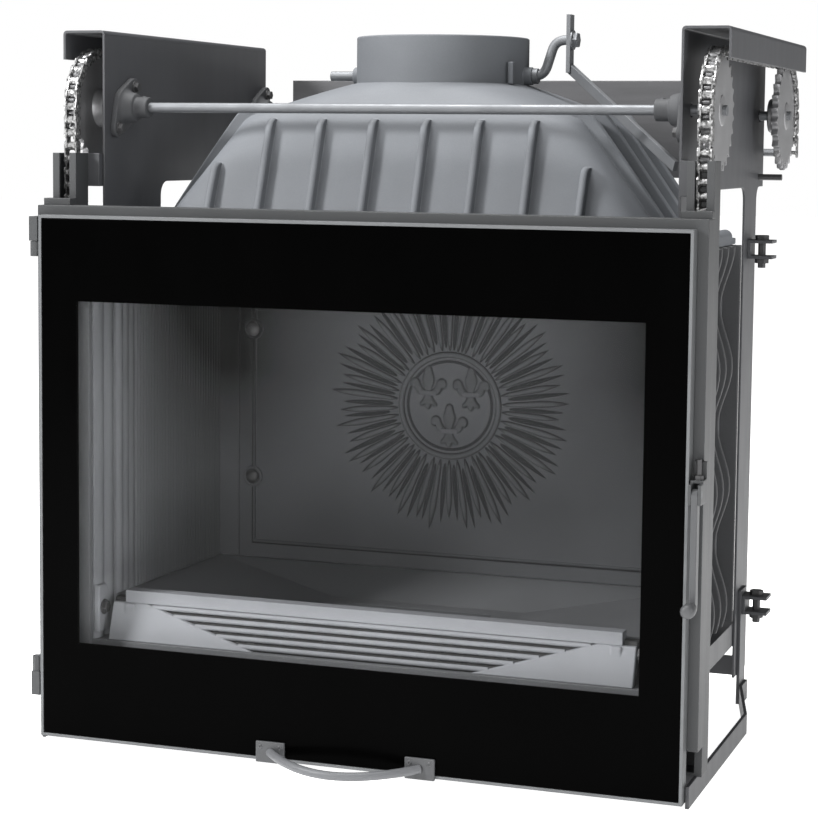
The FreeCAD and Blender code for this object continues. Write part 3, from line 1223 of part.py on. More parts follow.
def side_ribs():
    ribs = []
    for k in range(HOOD_SIDE_RIBS):
        y = HOOD_SIDE_RIB_FIRST + k * HOOD_SIDE_RIB_PITCH
        low = HOOD_FLANGE_TOP
        top = HOOD_RIB_TOP
        outline = [(hood_side(low) + HOOD_RIB_PROUD, low), (hood_side(top) + HOOD_RIB_PROUD, top),
                   (hood_side(HOOD_SHOULDER), HOOD_SHOULDER), (hood_side(top) - CASTING / 2, top),
                   (hood_side(low) - CASTING / 2, low)]
        points = [V(x, y, z) for x, z in outline]
        rib = prism(points, V(0, HOOD_RIB_THICKNESS, 0))
        ribs += [rib, mirrored(rib)]
    return ribs


def hood():
    """Ribbed hood with its flange on the firebox and a neck for the flue collar."""
    slope, cap = hood_mass(0)
    flange = box(-HOOD_FLANGE_HALF_WIDTH, HOOD_FLANGE_HALF_WIDTH, MOUTH_BACK, FIREBOX_REAR + WALL_RIB,
                 FIREBOX_TOP, HOOD_FLANGE_TOP)
    room_slope, room_cap = hood_mass(CASTING)
    opening = box(-HOOD_BASE_HALF_WIDTH + 2 * HOOD_CORNER, HOOD_BASE_HALF_WIDTH - 2 * HOOD_CORNER,
                  HOOD_BASE_FRONT + HOOD_CORNER, FIREBOX_REAR - HOOD_CORNER, FIREBOX_TOP, HOOD_FLANGE_TOP)
    outside = fuse([slope, cap, flange] + front_ribs() + side_ribs())
    return outside.cut(room_slope).cut(room_cap).cut(opening)


def flue_collar():
    """Round collar on the hood: a socket for the flue pipe, and two bosses for the damper spindle."""
    wall = prism_z(polygon(COLLAR_RADIUS, COLLAR_SIDES, 0, COLLAR_DEPTH), COLLAR_BASE, COLLAR_TOP)
    boss = prism_x(polygon(BOSS_RADIUS, ROUND_SIDES, COLLAR_DEPTH, SPINDLE_HEIGHT), 0,
                   COLLAR_RADIUS + BOSS_LENGTH)
    body = fuse([wall, boss, mirrored(boss)])
    bore = prism_z(polygon(FLUE_RADIUS, COLLAR_SIDES, 0, COLLAR_DEPTH), COLLAR_BASE, COLLAR_TOP)
    socket = rod_z(SOCKET_RADIUS, COLLAR_TOP - SOCKET_DEPTH, COLLAR_TOP, 0, COLLAR_DEPTH)
    spindle_hole = rod_x(SPINDLE_RADIUS + RUNNING_FIT, -SPINDLE_LEFT, SPINDLE_LEFT, COLLAR_DEPTH,
                         SPINDLE_HEIGHT)
    return body.cut(bore).cut(socket).cut(spindle_hole)


def damper_spindle():
    """Round bar through the collar, bent up at the right into a crank with its own pin."""
    left = CRANK_START - SPINDLE_RADIUS
    right = CRANK_START + SPINDLE_RADIUS
    low = SPINDLE_HEIGHT - SPINDLE_RADIUS
    high = CRANK_PIN_HEIGHT + SPINDLE_RADIUS
    outline = [(left, low), (right, low), (right + CRANK_LEAN, high - 2 * SPINDLE_RADIUS),
               (right + CRANK_LEAN, high), (left + CRANK_LEAN, high), (left, low + 2 * SPINDLE_RADIUS)]
    arm = prism_y(outline, COLLAR_DEPTH - SPINDLE_RADIUS, COLLAR_DEPTH + SPINDLE_RADIUS)
    spindle = rod_x(SPINDLE_RADIUS, -SPINDLE_LEFT, left, COLLAR_DEPTH, SPINDLE_HEIGHT)
    pin = rod_x(SPINDLE_RADIUS, right + CRANK_LEAN, CRANK_PIN_END, COLLAR_DEPTH, CRANK_PIN_HEIGHT)
    return fuse([spindle, arm, pin])


def damper_flap():
    """Round plate on top of the spindle, held by two straps."""
    bottom = SPINDLE_HEIGHT + SPINDLE_RADIUS + FLAP_SEAT
    disc = prism_z(polygon(FLAP_RADIUS, FLAP_SIDES, 0, COLLAR_DEPTH), bottom, bottom + FLAP_THICKNESS)
    strap_half = 2 * SPINDLE_RADIUS
    strap = box(FLAP_RADIUS / 2, FLAP_RADIUS / 2 + strap_half, COLLAR_DEPTH - strap_half,
                COLLAR_DEPTH + strap_half, SPINDLE_HEIGHT - SPINDLE_RADIUS - FLAP_THICKNESS, bottom)
    spindle = rod_x(SPINDLE_RADIUS, -FLAP_RADIUS, FLAP_RADIUS, COLLAR_DEPTH, SPINDLE_HEIGHT)
    return fuse([disc, strap, mirrored(strap)]).cut(spindle)


def crank_nut():
    start = CRANK_PIN_END - BOLT_HEAD_HEIGHT
    nut = prism_x(polygon(CRANK_NUT_RADIUS, HEX_SIDES, COLLAR_DEPTH, CRANK_PIN_HEIGHT), start, CRANK_PIN_END)
    return nut.cut(rod_x(SPINDLE_RADIUS, start, CRANK_PIN_END, COLLAR_DEPTH, CRANK_PIN_HEIGHT))


def damper_link():
    """Flat link: an upright eye on the crank pin, then a bar forward to the right side."""
    half = LINK_WIDTH / 2
    knee_height = CRANK_PIN_HEIGHT - LINK_DROP
    eye_wall = SPINDLE_RADIUS + half / 2
    upright = box(LINK_X, LINK_X + LINK_THICKNESS, COLLAR_DEPTH - eye_wall, COLLAR_DEPTH + eye_wall,
                  knee_height, CRANK_PIN_HEIGHT + LINK_RISE)
    knee = V(LINK_X + LINK_THICKNESS / 2, COLLAR_DEPTH, knee_height + half)
    end = V(PLATE_X - LINK_END_INSET, LINK_END_DEPTH, knee.z - LINK_FALL)
    bar = bar_between(knee, end, LINK_WIDTH, LINK_THICKNESS)
    bore = rod_x(SPINDLE_RADIUS + RUNNING_FIT, LINK_X - LINK_THICKNESS, LINK_X + 2 * LINK_THICKNESS,
                 COLLAR_DEPTH, CRANK_PIN_HEIGHT)
    return fuse([upright, bar]).cut(bore)


# Counterweight

def counterweight():
    body = box(-WEIGHT_HALF_WIDTH, WEIGHT_HALF_WIDTH, WEIGHT_FRONT, WEIGHT_BACK, WEIGHT_TOP - WEIGHT_HEIGHT,
               WEIGHT_TOP)
    hole = prism_x(polygon(HANGER_RADIUS, ROUND_SIDES, REAR_RUN_DEPTH, HANGER_HEIGHT),
                   WEIGHT_HALF_WIDTH - HANGER_DEPTH, WEIGHT_HALF_WIDTH)
    return body.cut(both_sides(hole))


def hanger_pins():
    """Pin out of each end of the counterweight to the side of the chain's last link."""
    pin = prism_x(polygon(HANGER_RADIUS, ROUND_SIDES, REAR_RUN_DEPTH, HANGER_HEIGHT),
                  WEIGHT_HALF_WIDTH - HANGER_DEPTH, RAIL_X - CHAIN_HALF_WIDTH)
    return both_sides(pin)


def save(name, shape):
    shape.translate(V(0, -MIDDLE_DEPTH, 0))
    shape.exportStep(os.path.join("parts", name + ".step"))


def save_pair(name, shape):
    """The same piece on the right and mirrored on the left."""
    save("left_" + name, mirrored(shape))
    save("right_" + name, shape)


os.makedirs("parts", exist_ok=True)

save("door_frame", door_frame())
save("door_glass", door_glass())
save("printed_border", printed_border())
save("glass_seal", flange_seal(GLASS_SEAL_WIDTH, PRINT_BACK, FLANGE_FRONT))
save("door_seal", flange_seal(DOOR_SEAL_WIDTH, FLANGE_BACK, FLANGE_BACK + DOOR_SEAL_DEPTH))
save("hinge_knuckles", hinge_knuckles())
save("handle_plates", handle_plates())
save("handle_bar", handle_bar())

save("lift_frame", lift_frame())
save("lift_seal", lift_seal())
save("frame_tabs", frame_tabs())
save("slide_shoes", slide_shoes())
save("hinge_blocks", hinge_blocks())
save("latch_bracket", latch_bracket())
save("pivot_pins", Part.makeCompound(hinge_pins() + [latch_pin()]))
save("latch_screw", latch_screw())
save("latch_lever", latch_lever())
save("latch_knob", latch_knob())

save("left_chain", chain(-RAIL_X))
save("right_chain", chain(RAIL_X))
save_pair("front_sprocket", sprocket(SHAFT_DEPTH))
save_pair("rear_sprocket", sprocket(REAR_SHAFT_DEPTH))
save("drive_shaft", drive_shaft())
save_pair("stub_shaft", stub_shaft())
save("front_bearings", both_sides(bearing(SHAFT_DEPTH)))
save("rear_bearings", both_sides(bearing(REAR_SHAFT_DEPTH)))

save_pair("side_plate", side_plate())
save_pair("guide_rail", guide_rail())
save("frame_brackets", Part.makeCompound([rail_brackets(), frame_clamps()]))
save("foot_bars", both_sides(foot_bar()))
save("rear_feet", rear_feet())
save("cross_bars", Part.makeCompound([front_cross_bar(), rear_cross_bar()]))
save("side_rails", both_sides(side_rail()))
save("frame_bolts", Part.makeCompound([bearing_bolts(), clamp_bolts(), guard_pins()]))

save("mouth_frame", mouth_frame())
save("side_walls", both_sides(firebox_wall()))
save("rear_wall", rear_wall())
save("side_liners", both_sides(liner()))
save("fireback", fireback())
save("fireback_bolts", fireback_bolts())
save("hearth_base", hearth_base())
save("grate", grate())
save("ash_box", ash_box())
save("front_sill", front_sill())
save("log_bar", log_bar())
save("smoke_baffle", smoke_baffle())

save("hood", hood())
save("flue_collar", flue_collar())
save("damper_spindle", Part.makeCompound([damper_spindle(), crank_nut()]))
save("damper_flap", damper_flap())
save("damper_link", damper_link())

save("counterweight", counterweight())
save("hanger_pins", hanger_pins())
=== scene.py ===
import json
import random
from math import asin, copysign, cos, pi, radians, sin

import bpy
from bpy.props import FloatProperty, FloatVectorProperty, IntProperty, PointerProperty
from mathutils import Matrix, Vector


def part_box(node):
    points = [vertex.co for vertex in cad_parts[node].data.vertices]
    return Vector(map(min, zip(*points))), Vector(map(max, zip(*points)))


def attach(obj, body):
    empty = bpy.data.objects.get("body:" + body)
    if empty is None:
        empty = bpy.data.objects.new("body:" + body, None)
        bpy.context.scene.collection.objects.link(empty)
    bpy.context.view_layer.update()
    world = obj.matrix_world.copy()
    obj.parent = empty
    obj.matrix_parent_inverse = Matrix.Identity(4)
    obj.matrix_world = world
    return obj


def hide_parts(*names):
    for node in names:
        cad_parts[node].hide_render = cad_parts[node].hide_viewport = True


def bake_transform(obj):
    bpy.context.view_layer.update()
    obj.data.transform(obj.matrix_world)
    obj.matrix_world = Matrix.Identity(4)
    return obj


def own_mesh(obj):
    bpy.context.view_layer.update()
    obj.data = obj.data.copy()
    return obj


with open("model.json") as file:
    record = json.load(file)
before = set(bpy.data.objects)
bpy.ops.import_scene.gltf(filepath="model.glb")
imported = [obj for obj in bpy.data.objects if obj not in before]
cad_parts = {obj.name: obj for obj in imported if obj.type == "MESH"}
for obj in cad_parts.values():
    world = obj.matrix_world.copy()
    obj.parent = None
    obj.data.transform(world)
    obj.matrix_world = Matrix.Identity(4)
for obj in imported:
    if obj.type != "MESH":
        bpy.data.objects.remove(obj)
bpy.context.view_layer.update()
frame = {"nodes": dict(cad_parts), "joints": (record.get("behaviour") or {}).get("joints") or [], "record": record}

bl_info = {
    "name": "Fireplace Insert",
    "version": (1, 0, 0),
    "blender": (4, 5, 0),
    "location": "View3D > Sidebar > Hearth",
    "description": "Dresses a fireplace insert with a lifting glass door, part by part",
    "category": "Object",
}

PHOTO_PIXELS = 818
SENSOR_WIDTH = 36.0
MERGE = 1e-6
HAIR = 1e-5
SMOOTH_ANGLE = radians(35)
BEVEL_ANGLE = radians(30)
X_AXIS = Vector((1, 0, 0))
Y_AXIS = Vector((0, 1, 0))
Z_AXIS = Vector((0, 0, 1))
COLD_GREY = Vector((0.97, 1.0, 1.06))
FINISHES = {}

# Radii of rounded edges
SHEET_EDGE = 0.0006
THIN_EDGE = 0.0008
PLATE_EDGE = 0.001
CAST_EDGE = 0.0012
BLOCK_EDGE = 0.0015
FLANGE_EDGE = 0.0018
EAR_EDGE = 0.0025
BAR_EDGE = 0.003


# Places that come from the frame

def middle(node):
    low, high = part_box(node)
    return (low + high) / 2


def slot_colour(slot):
    """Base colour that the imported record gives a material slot."""
    row = next(row for row in frame["record"]["materials"] if row["slot"] == slot)
    return row["base_color"][:3]


SHAFT = middle("drive_shaft")
REAR_SHAFT = middle("right_stub_shaft")
CHAIN_X = middle("right_chain").x
CHAIN_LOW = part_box("right_chain")[0].z
PLATE_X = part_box("right_side_plate")[0].x
FLUE = middle("damper_flap")
LIFT_TRAVEL = next(j for j in frame["joints"] if j["name"] == "door_lift")["range_m"][1]


# Sizes and colours that a user would change

def length(name, description, default):
    return FloatProperty(name=name, description=description, default=default, unit="LENGTH", precision=5)


def tint(name, slot):
    return FloatVectorProperty(name=name, description="Base colour of the " + name.lower(), subtype="COLOR",
                               size=3, min=0.0, max=1.0, default=slot_colour(slot))


class HearthSizes(bpy.types.PropertyGroup):
    """Sizes of the dressed pieces"""

    window_half_width: length("Window half width", "Clear glass to each side of the middle", 0.3435)
    window_bottom: length("Window bottom", "Height of the clear glass above the floor", 0.123)
    window_top: length("Window top", "Height of the top of the clear glass", 0.533)
    pitch: length("Chain pitch", "Distance between two rollers of the chain", 0.015875)
    teeth: IntProperty(name="Teeth", description="Teeth on each sprocket", default=26, min=9)
    roller: length("Roller radius", "Radius of the chain's rollers", 0.0050)
    link_plate: length("Link plate", "Thickness of a link plate", 0.0017)
    link_height: length("Link height", "Height of a link plate", 0.0136)
    link_inside: length("Link inside", "Width between the inner plates", 0.00965)
    disc: length("Sprocket thickness", "Thickness of the toothed disc", 0.008)
    hub_radius: length("Hub radius", "Radius of a sprocket's hub", 0.022)
    hub_length: length("Hub length", "Length of a sprocket's hub", 0.014)
    bearing_flange: length("Bearing flange", "Thickness of a bearing's flange", 0.007)
    bearing_bolts: length("Bearing bolts", "Distance between a bearing's two bolts", 0.066)
    hood_wall: length("Hood wall", "Thickness of the hood casting", 0.008)
    rib_width: length("Rib width", "Thickness of the hood's ribs", 0.0085)
    rib_proud: length("Rib height", "How far the hood's ribs stand out", 0.0145)
    rib_pitch: length("Rib pitch", "Distance between the hood's front ribs", 0.0665)
    head_radius: length("Bolt head radius", "Radius of the fireback's bolt heads", 0.009)
    sun_height: length("Sunburst height", "Height of the middle of the sunburst", 0.386)
    ray_count: IntProperty(name="Rays", description="Rays of the sunburst on the fireback", default=42, min=8)
    ring_radius: length("Ring radius", "Ring round the middle of the sunburst", 0.066)
    ray_reach: length("Ray reach", "Radius that the long rays reach", 0.164)


class HearthColours(bpy.types.PropertyGroup):
    """Base colours of the finishes"""

    hood_iron: tint("Hood iron", "hood_iron")
    box_iron: tint("Box iron", "box_iron")
    fire_iron: tint("Fire iron", "fire_iron")
    frame_paint: tint("Frame paint", "frame_paint")
    lift_paint: tint("Lift paint", "lift_paint")
    door_steel: tint("Door steel", "door_steel")
    handle_paint: tint("Handle paint", "handle_paint")
    chain_steel: tint("Chain steel", "chain_steel")
    wheel_steel: tint("Wheel steel", "wheel_steel")
    bar_steel: tint("Bar steel", "bar_steel")
    bearing_iron: tint("Bearing iron", "bearing_iron")
    bolt_steel: tint("Bolt steel", "bolt_steel")
    weight_steel: tint("Weight steel", "weight_steel")
    window_glass: tint("Window glass", "window_glass")
    print_black: tint("Black print", "print_black")
    rope: tint("Sealing rope", "rope")


# Finishes

class Val:
    """Output of a node, with arithmetic that adds the Math nodes it needs."""

    def __init__(self, finish, socket):
        self.finish = finish
        self.socket = socket

    def math(self, operation, first, second=0.0):
        return self.finish.node("ShaderNodeMath", {"operation": operation}, {0: first, 1: second})

    def __add__(self, other):
        return self.math("ADD", self, other)

    def __radd__(self, other):
        return self.math("ADD", other, self)

    def __sub__(self, other):
        return self.math("SUBTRACT", self, other)

    def __rsub__(self, other):
        return self.math("SUBTRACT", other, self)

    def __mul__(self, other):
        return self.math("MULTIPLY", self, other)

    def __rmul__(self, other):
        return self.math("MULTIPLY", other, self)

    def lowest(self, other):
        return self.math("MINIMUM", self, other)

    def sine(self):
        return self.math("SINE", self)

    def limited(self):
        return self.finish.node("ShaderNodeClamp", {}, {"Value": self})


class Finish:
    """Node material of one finish, whose patterns are in metres on Object coordinates."""

    def __init__(self, name):
        self.material = bpy.data.materials.new(name)
        self.material.use_nodes = True
        self.tree = self.material.node_tree
        self.tree.nodes.clear()
        self.place = self.node("ShaderNodeTexCoord", output="Object")

    def node(self, kind, settings=None, inputs=None, output=0):
        made = self.tree.nodes.new(kind)
        for name, value in (settings or {}).items():
            if name == "stops":
                self.set_stops(made.color_ramp, value)
            else:
                setattr(made, name, value)
        for name, value in (inputs or {}).items():
            if isinstance(value, Val):
                self.tree.links.new(value.socket, made.inputs[name])
            else:
                made.inputs[name].default_value = value
        return Val(self, made.outputs[output])

    def set_stops(self, ramp, stops):
        while len(ramp.elements) < len(stops):
            ramp.elements.new(1.0)
        for element, (position, grey) in zip(ramp.elements, stops):
            element.position = position
            element.color = (grey, grey, grey, 1)

    def vector(self, operation, first, second=(0, 0, 0), output="Vector"):
        return self.node("ShaderNodeVectorMath", {"operation": operation}, {0: first, 1: second}, output)

    def noise(self, size, detail=2.0, stretch=(1, 1, 1)):
        """Noise with grains of about one size, drawn out where stretch is under 1."""
        place = self.vector("MULTIPLY", self.place, stretch)
        return self.node("ShaderNodeTexNoise", {}, {"Vector": place, "Scale": 1 / size, "Detail": detail})

    def ramp(self, value, stops):
        return self.node("ShaderNodeValToRGB", {"stops": stops}, {"Fac": value})

    def span(self, value, start, end):
        """0 at the start, 1 at the end and straight between them."""
        return self.node("ShaderNodeMapRange", {}, {"Value": value, "From Min": start, "From Max": end})

    def mix(self, factor, first, second):
        return self.node("ShaderNodeMix", {"data_type": "RGBA"}, {0: factor, 6: first, 7: second}, output=2)

    def soft_edge(self, radius):
        return self.node("ShaderNodeBevel", {"samples": 4}, {"Radius": radius})

    def edge_mask(self, edge, gain):
        """Mask of a piece's sharp edges, where rubbing and painted highlights gather."""
        flat = self.node("ShaderNodeNewGeometry", output="Normal")
        along = self.vector("DOT_PRODUCT", edge, flat, "Value")
        return ((1 - along) * gain).limited()

    def bump(self, height, distance, normal):
        return self.node("ShaderNodeBump", {}, {"Strength": 1.0, "Distance": distance, "Height": height,
                                                "Normal": normal})

    def surface(self, sockets):
        shader = self.node("ShaderNodeBsdfPrincipled", {}, sockets)
        end = self.tree.nodes.new("ShaderNodeOutputMaterial")
        self.tree.links.new(shader.socket, end.inputs["Surface"])
        return self.material


def shade(colour, factor):
    return tuple(min(1.0, part * factor) for part in colour) + (1.0,)


def greyed(colour):
    """Cold grey as light as a colour."""
    return COLD_GREY * (sum(colour) / len(colour))


def cast_iron(name, colour, rubbing_and_highlight=0.45):
    """Painted sand casting: clouded tone, fine grain, and lighter edges that are partly rubbed paint and partly a
    painted highlight.
    """
    finish = Finish(name)
    cloud = finish.noise(0.09, 5.0)
    sand = finish.noise(0.0011, 3.0)
    lumps = finish.noise(0.006, 2.0)
    edge = finish.soft_edge(0.0022)
    rubbed_and_lit = finish.edge_mask(edge, 2.2)
    tone = finish.mix(cloud, shade(colour, 0.74), shade(colour, 1.22))
    tone = finish.mix(sand * 0.5, tone, shade(colour, 0.6))
    # Lighter edges: rubbed paint, and a painted highlight.
    tone = finish.mix(rubbed_and_lit * rubbing_and_highlight, tone, shade(colour, 1.9))
    return finish.surface({
        "Base Color": tone,
        "Roughness": 0.62 + sand * 0.16 - rubbed_and_lit * 0.12,
        "Normal": finish.bump(sand * 0.4 + lumps * 0.6, 0.00014, edge),
    })


def ashy_iron(name, colour):
    """Iron of the firebox: sooty, with painted shade, in the hollows of the relief; smoky, with painted shade,
    high in the back corners; painted light near the mouth, ashy on the sill.
    """
    finish = Finish(name)
    colour = greyed(colour)
    low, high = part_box("fireback")
    cloud = finish.noise(0.11, 5.0)
    sand = finish.noise(0.0012, 3.0)
    lumps = finish.noise(0.007, 2.0)
    edge = finish.soft_edge(0.0018)
    rubbed_and_lit = finish.edge_mask(edge, 2.2)
    x, y, z = (finish.node("ShaderNodeSeparateXYZ", {}, {0: finish.place}, output=k) for k in range(3))
    front = finish.span(y, low.y + 0.02, low.y - 0.05)
    # Painted light: lighter near the mouth, where light falls in through the door.
    mouth_light = finish.span(y, low.y - 0.18, low.y - 0.29)
    # Lighter low at the front: ash, and painted light on the sill.
    ash_and_light = finish.span(z, low.z + 0.03, low.z - 0.005) * mouth_light
    tone = finish.mix(cloud, shade(colour, 0.8), shade(colour, 1.18))
    tone = finish.mix(mouth_light * 0.5, tone, shade(colour, 1.9))
    tone = finish.mix(ash_and_light * (0.7 + cloud * 0.4), tone, shade(colour, 2.7))
    # Darker on the slopes and low parts of the relief: sooty, with painted shade in the hollows.
    height = finish.span(y, low.y + RELIEF, low.y)
    soot_and_shade = finish.ramp(height, ((0.0, 0.0), (0.08, 1.0), (0.5, 0.9), (1.0, 0.0))) * (1 - front)
    tone = finish.mix(soot_and_shade * 0.95, tone, shade(colour, 0.06))
    # Painted shade, partly a smoky stain: darker upwards, towards the back and towards the sides.
    smoke_and_shade = finish.span(z, low.z + 0.12, high.z - 0.05) * finish.span(y, low.y - 0.27, low.y + 0.01)
    dark = (smoke_and_shade * 2.0).limited() * finish.span(x * x, 0.01, 0.085)
    tone = finish.mix(dark, tone, shade(colour, 0.01))
    # Lighter edges: rubbed iron, and a painted highlight.
    tone = finish.mix(rubbed_and_lit * 0.4, tone, shade(colour, 2.2))
    return finish.surface({
        "Base Color": tone,
        "Roughness": 0.6 + sand * 0.2 - rubbed_and_lit * 0.12 + dark * 0.3,
        "Specular IOR Level": 0.02,
        "Normal": finish.bump(sand * 0.4 + lumps * 0.6, 0.00016, edge),
    })


def satin_paint(name, colour):
    """Stoved paint on sheet steel: slight orange peel, rubbed edges with a painted highlight on them, and faint
    handling marks.
    """
    finish = Finish(name)
    peel = finish.noise(0.0018, 1.0)
    cloud = finish.noise(0.16, 4.0)
    rubs = finish.noise(0.02, 4.0, (1, 1, 0.2))
    edge = finish.soft_edge(0.0016)
    rubbed_and_lit = finish.edge_mask(edge, 2.6)
    tone = finish.mix(cloud, shade(colour, 0.86), shade(colour, 1.12))
    # Lighter edges: rubbed paint, and a painted highlight.
    tone = finish.mix(rubbed_and_lit * 0.5, tone, shade(colour, 2.0))
    return finish.surface({
        "Base Color": tone,
        "Roughness": 0.42 + rubs * 0.14 - rubbed_and_lit * 0.1,
        "Normal": finish.bump(peel, 0.00008, edge),
    })


def drawn_steel(name, colour):
    """Bright steel with fine lines across the insert and a few dull patches."""
    finish = Finish(name)
    lines = finish.noise(0.0006, 2.0, (0.03, 1, 1))
    patches = finish.noise(0.03, 4.0)
    edge = finish.soft_edge(0.0008)
    dull = finish.ramp(patches, ((0.42, 0.0), (0.72, 1.0)))
    tone = finish.mix(dull * 0.3, shade(colour, 1.0), shade(colour, 0.7))
    return finish.surface({
        "Base Color": tone,
        "Metallic": 0.6,
        "Roughness": 0.42 + lines * 0.16 + dull * 0.14,
        "Normal": finish.bump(lines, 0.00004, edge),
    })


def turned_steel(name, colour):
    """Faced steel with rings round the shafts."""
    finish = Finish(name)
    reach = None
    for centre in (SHAFT, REAR_SHAFT):
        offset = finish.vector("SUBTRACT", finish.place, centre)
        flat = finish.vector("MULTIPLY", offset, (0, 1, 1))
        distance = finish.vector("LENGTH", flat, output="Value")
        reach = distance if reach is None else reach.lowest(distance)
    ring_gap = 0.0014
    rings = (reach * (2 * pi / ring_gap)).sine() * 0.5 + 0.5
    patches = finish.noise(0.02, 4.0)
    edge = finish.soft_edge(0.0009)
    tone = finish.mix(patches, shade(colour, 0.82), shade(colour, 1.3))
    return finish.surface({
        "Base Color": tone,
        "Metallic": 0.75,
        "Roughness": 0.34 + patches * 0.18,
        "Normal": finish.bump(rings + patches * 0.5, 0.00003, edge),
    })


def chain_oil(name, colour):
    """Oiled chain steel: bright where it rubs and dark where the oil holds dirt."""
    finish = Finish(name)
    dirt = finish.ramp(finish.noise(0.004, 3.0), ((0.38, 0.0), (0.62, 1.0)))
    grain = finish.noise(0.0005, 2.0)
    tone = finish.mix(dirt, shade(colour, 1.15), shade(colour, 0.22))
    return finish.surface({
        "Base Color": tone,
        "Metallic": 0.9,
        "Roughness": 0.28 + dirt * 0.24 + grain * 0.06,
    })


def zinc_plate(name, colour):
    """Zinc-plated bolts with a slightly clouded bright face."""
    finish = Finish(name)
    cloud = finish.noise(0.003, 4.0)
    edge = finish.soft_edge(0.0006)
    tone = finish.mix(cloud, shade(colour, 0.75), shade(colour, 1.5))
    return finish.surface({
        "Base Color": tone,
        "Metallic": 0.5,
        "Roughness": 0.38 + cloud * 0.2,
        "Normal": finish.bump(cloud, 0.00005, edge),
    })


def rolled_steel(name, colour):
    """Hot-rolled bar with mill scale in long faint streaks."""
    finish = Finish(name)
    streaks = finish.noise(0.012, 5.0, (0.12, 1, 1))
    scale = finish.noise(0.0022, 3.0)
    edge = finish.soft_edge(0.002)
    rubbed_and_lit = finish.edge_mask(edge, 2.4)
    tone = finish.mix(streaks, shade(colour, 0.7), shade(colour, 1.35))
    # Lighter edges: rubbed scale, and a painted highlight.
    tone = finish.mix(rubbed_and_lit * 0.6, tone, shade(colour, 2.2))
    return finish.surface({
        "Base Color": tone,
        "Metallic": 0.2,
        "Roughness": 0.48 + scale * 0.2,
        "Normal": finish.bump(scale + streaks, 0.00012, edge),
    })


def clear_glass(name, colour):
    """Glass ceramic: nearly clear, with a faint film on it."""
    finish = Finish(name)
    film = finish.noise(0.12, 3.0)
    return finish.surface({
        "Base Color": shade(colour, 1.0),
        "Roughness": 0.03,
        "Specular IOR Level": 0.02,
        "Alpha": 0.002 + film * 0.004,
    })


def black_print(name, colour):
    """Black ceramic print seen through the glass: deep gloss with faint smears."""
    finish = Finish(name)
    smears = finish.noise(0.05, 4.0, (1, 1, 0.4))
    dots = finish.noise(0.0012, 2.0)
    tone = finish.mix(smears, shade(colour, 0.7), shade(colour, 1.4))
    return finish.surface({
        "Base Color": tone,
        "Roughness": 0.12 + smears * 0.1 + dots * 0.02,
        "Specular IOR Level": 0.01,
    })


def woven_rope(name, colour):
    """Braided glass rope: two crossed twills of fine yarn."""
    finish = Finish(name)
    yarn_gap = 0.004
    twills = []
    for lean in ((1, 0.3, 1), (-1, 0.3, 1)):
        slant = finish.vector("DOT_PRODUCT", finish.place, lean, "Value")
        twills.append((slant * (2 * pi / yarn_gap)).sine() * 0.5 + 0.5)
    weave = twills[0] * twills[1]
    fuzz = finish.noise(0.0006, 2.0)
    tone = finish.mix(weave, shade(colour, 0.6), shade(colour, 1.3))
    flat = finish.node("ShaderNodeNewGeometry", output="Normal")
    return finish.surface({
        "Base Color": tone,
        "Roughness": 0.8 + fuzz * 0.15,
        "Normal": finish.bump(weave + fuzz * 0.3, 0.0006, flat),
    })


def greyed_casting(name, colour):
    """Grey casting whose edges are only slightly lightened, as rubbed paint and painted highlight."""
    return cast_iron(name, greyed(colour), rubbing_and_highlight=0.12)


# Finish: the material slot that it belongs to, its maker and how deep its tone is
FINISH_MAKERS = {
    "hood_iron": ("hood_iron", cast_iron, 0.38),
    "collar_iron": ("hood_iron", cast_iron, 0.36),
    "box_iron": ("box_iron", greyed_casting, 0.56),
    # Darker copy of the box iron for the fins: painted shade between them.
    "fin_iron": ("box_iron", greyed_casting, 0.26),
    "fire_iron": ("fire_iron", ashy_iron, 0.8),
    # Dark copy of the fire iron for the sill plate: sooty, and painted shade behind the louvre bars.
    "soot_iron": ("fire_iron", greyed_casting, 0.08),
    "bearing_iron": ("bearing_iron", cast_iron, 0.16),
    "frame_paint": ("frame_paint", satin_paint, 0.27),
    "lift_paint": ("lift_paint", satin_paint, 0.08),
    "handle_paint": ("handle_paint", satin_paint, 0.3),
    "lever_paint": ("handle_paint", satin_paint, 0.15),
    "door_steel": ("door_steel", drawn_steel, 0.2),
    "bar_steel": ("bar_steel", drawn_steel, 0.26),
    "flap_steel": ("bar_steel", rolled_steel, 0.14),
    "chain_steel": ("chain_steel", chain_oil, 0.8),
    "wheel_steel": ("wheel_steel", turned_steel, 0.58),
    "bolt_steel": ("bolt_steel", zinc_plate, 0.13),
    "weight_steel": ("weight_steel", rolled_steel, 0.4),
    "window_glass": ("window_glass", clear_glass, 1.0),
    "print_black": ("print_black", black_print, 0.05),
    "rope": ("rope", woven_rope, 0.8),
}


# Modelling helpers

def deselect():
    if bpy.context.mode != "OBJECT":
        bpy.ops.object.mode_set(mode="OBJECT")
    bpy.ops.object.select_all(action="DESELECT")


def activate(piece):
    deselect()
    piece.select_set(True)
    bpy.context.view_layer.objects.active = piece


def settle(name):
    """Write the active piece's place into its mesh, and name it."""
    piece = bpy.context.object
    if piece.mode != "OBJECT":
        bpy.ops.object.mode_set(mode="OBJECT")
    bpy.ops.object.transform_apply(location=True, rotation=True, scale=True)
    piece.name = name
    piece.data.name = name
    return piece


def smooth(piece):
    activate(piece)
    bpy.ops.object.shade_smooth_by_angle(angle=SMOOTH_ANGLE)
    return piece


def modify(piece, kind, **settings):
    """Give a piece a modifier and apply it."""
    activate(piece)
    modifier = piece.modifiers.new(kind, kind)
    for name, value in settings.items():
        setattr(modifier, name, value)
    bpy.ops.object.modifier_apply(modifier=modifier.name)
    return piece


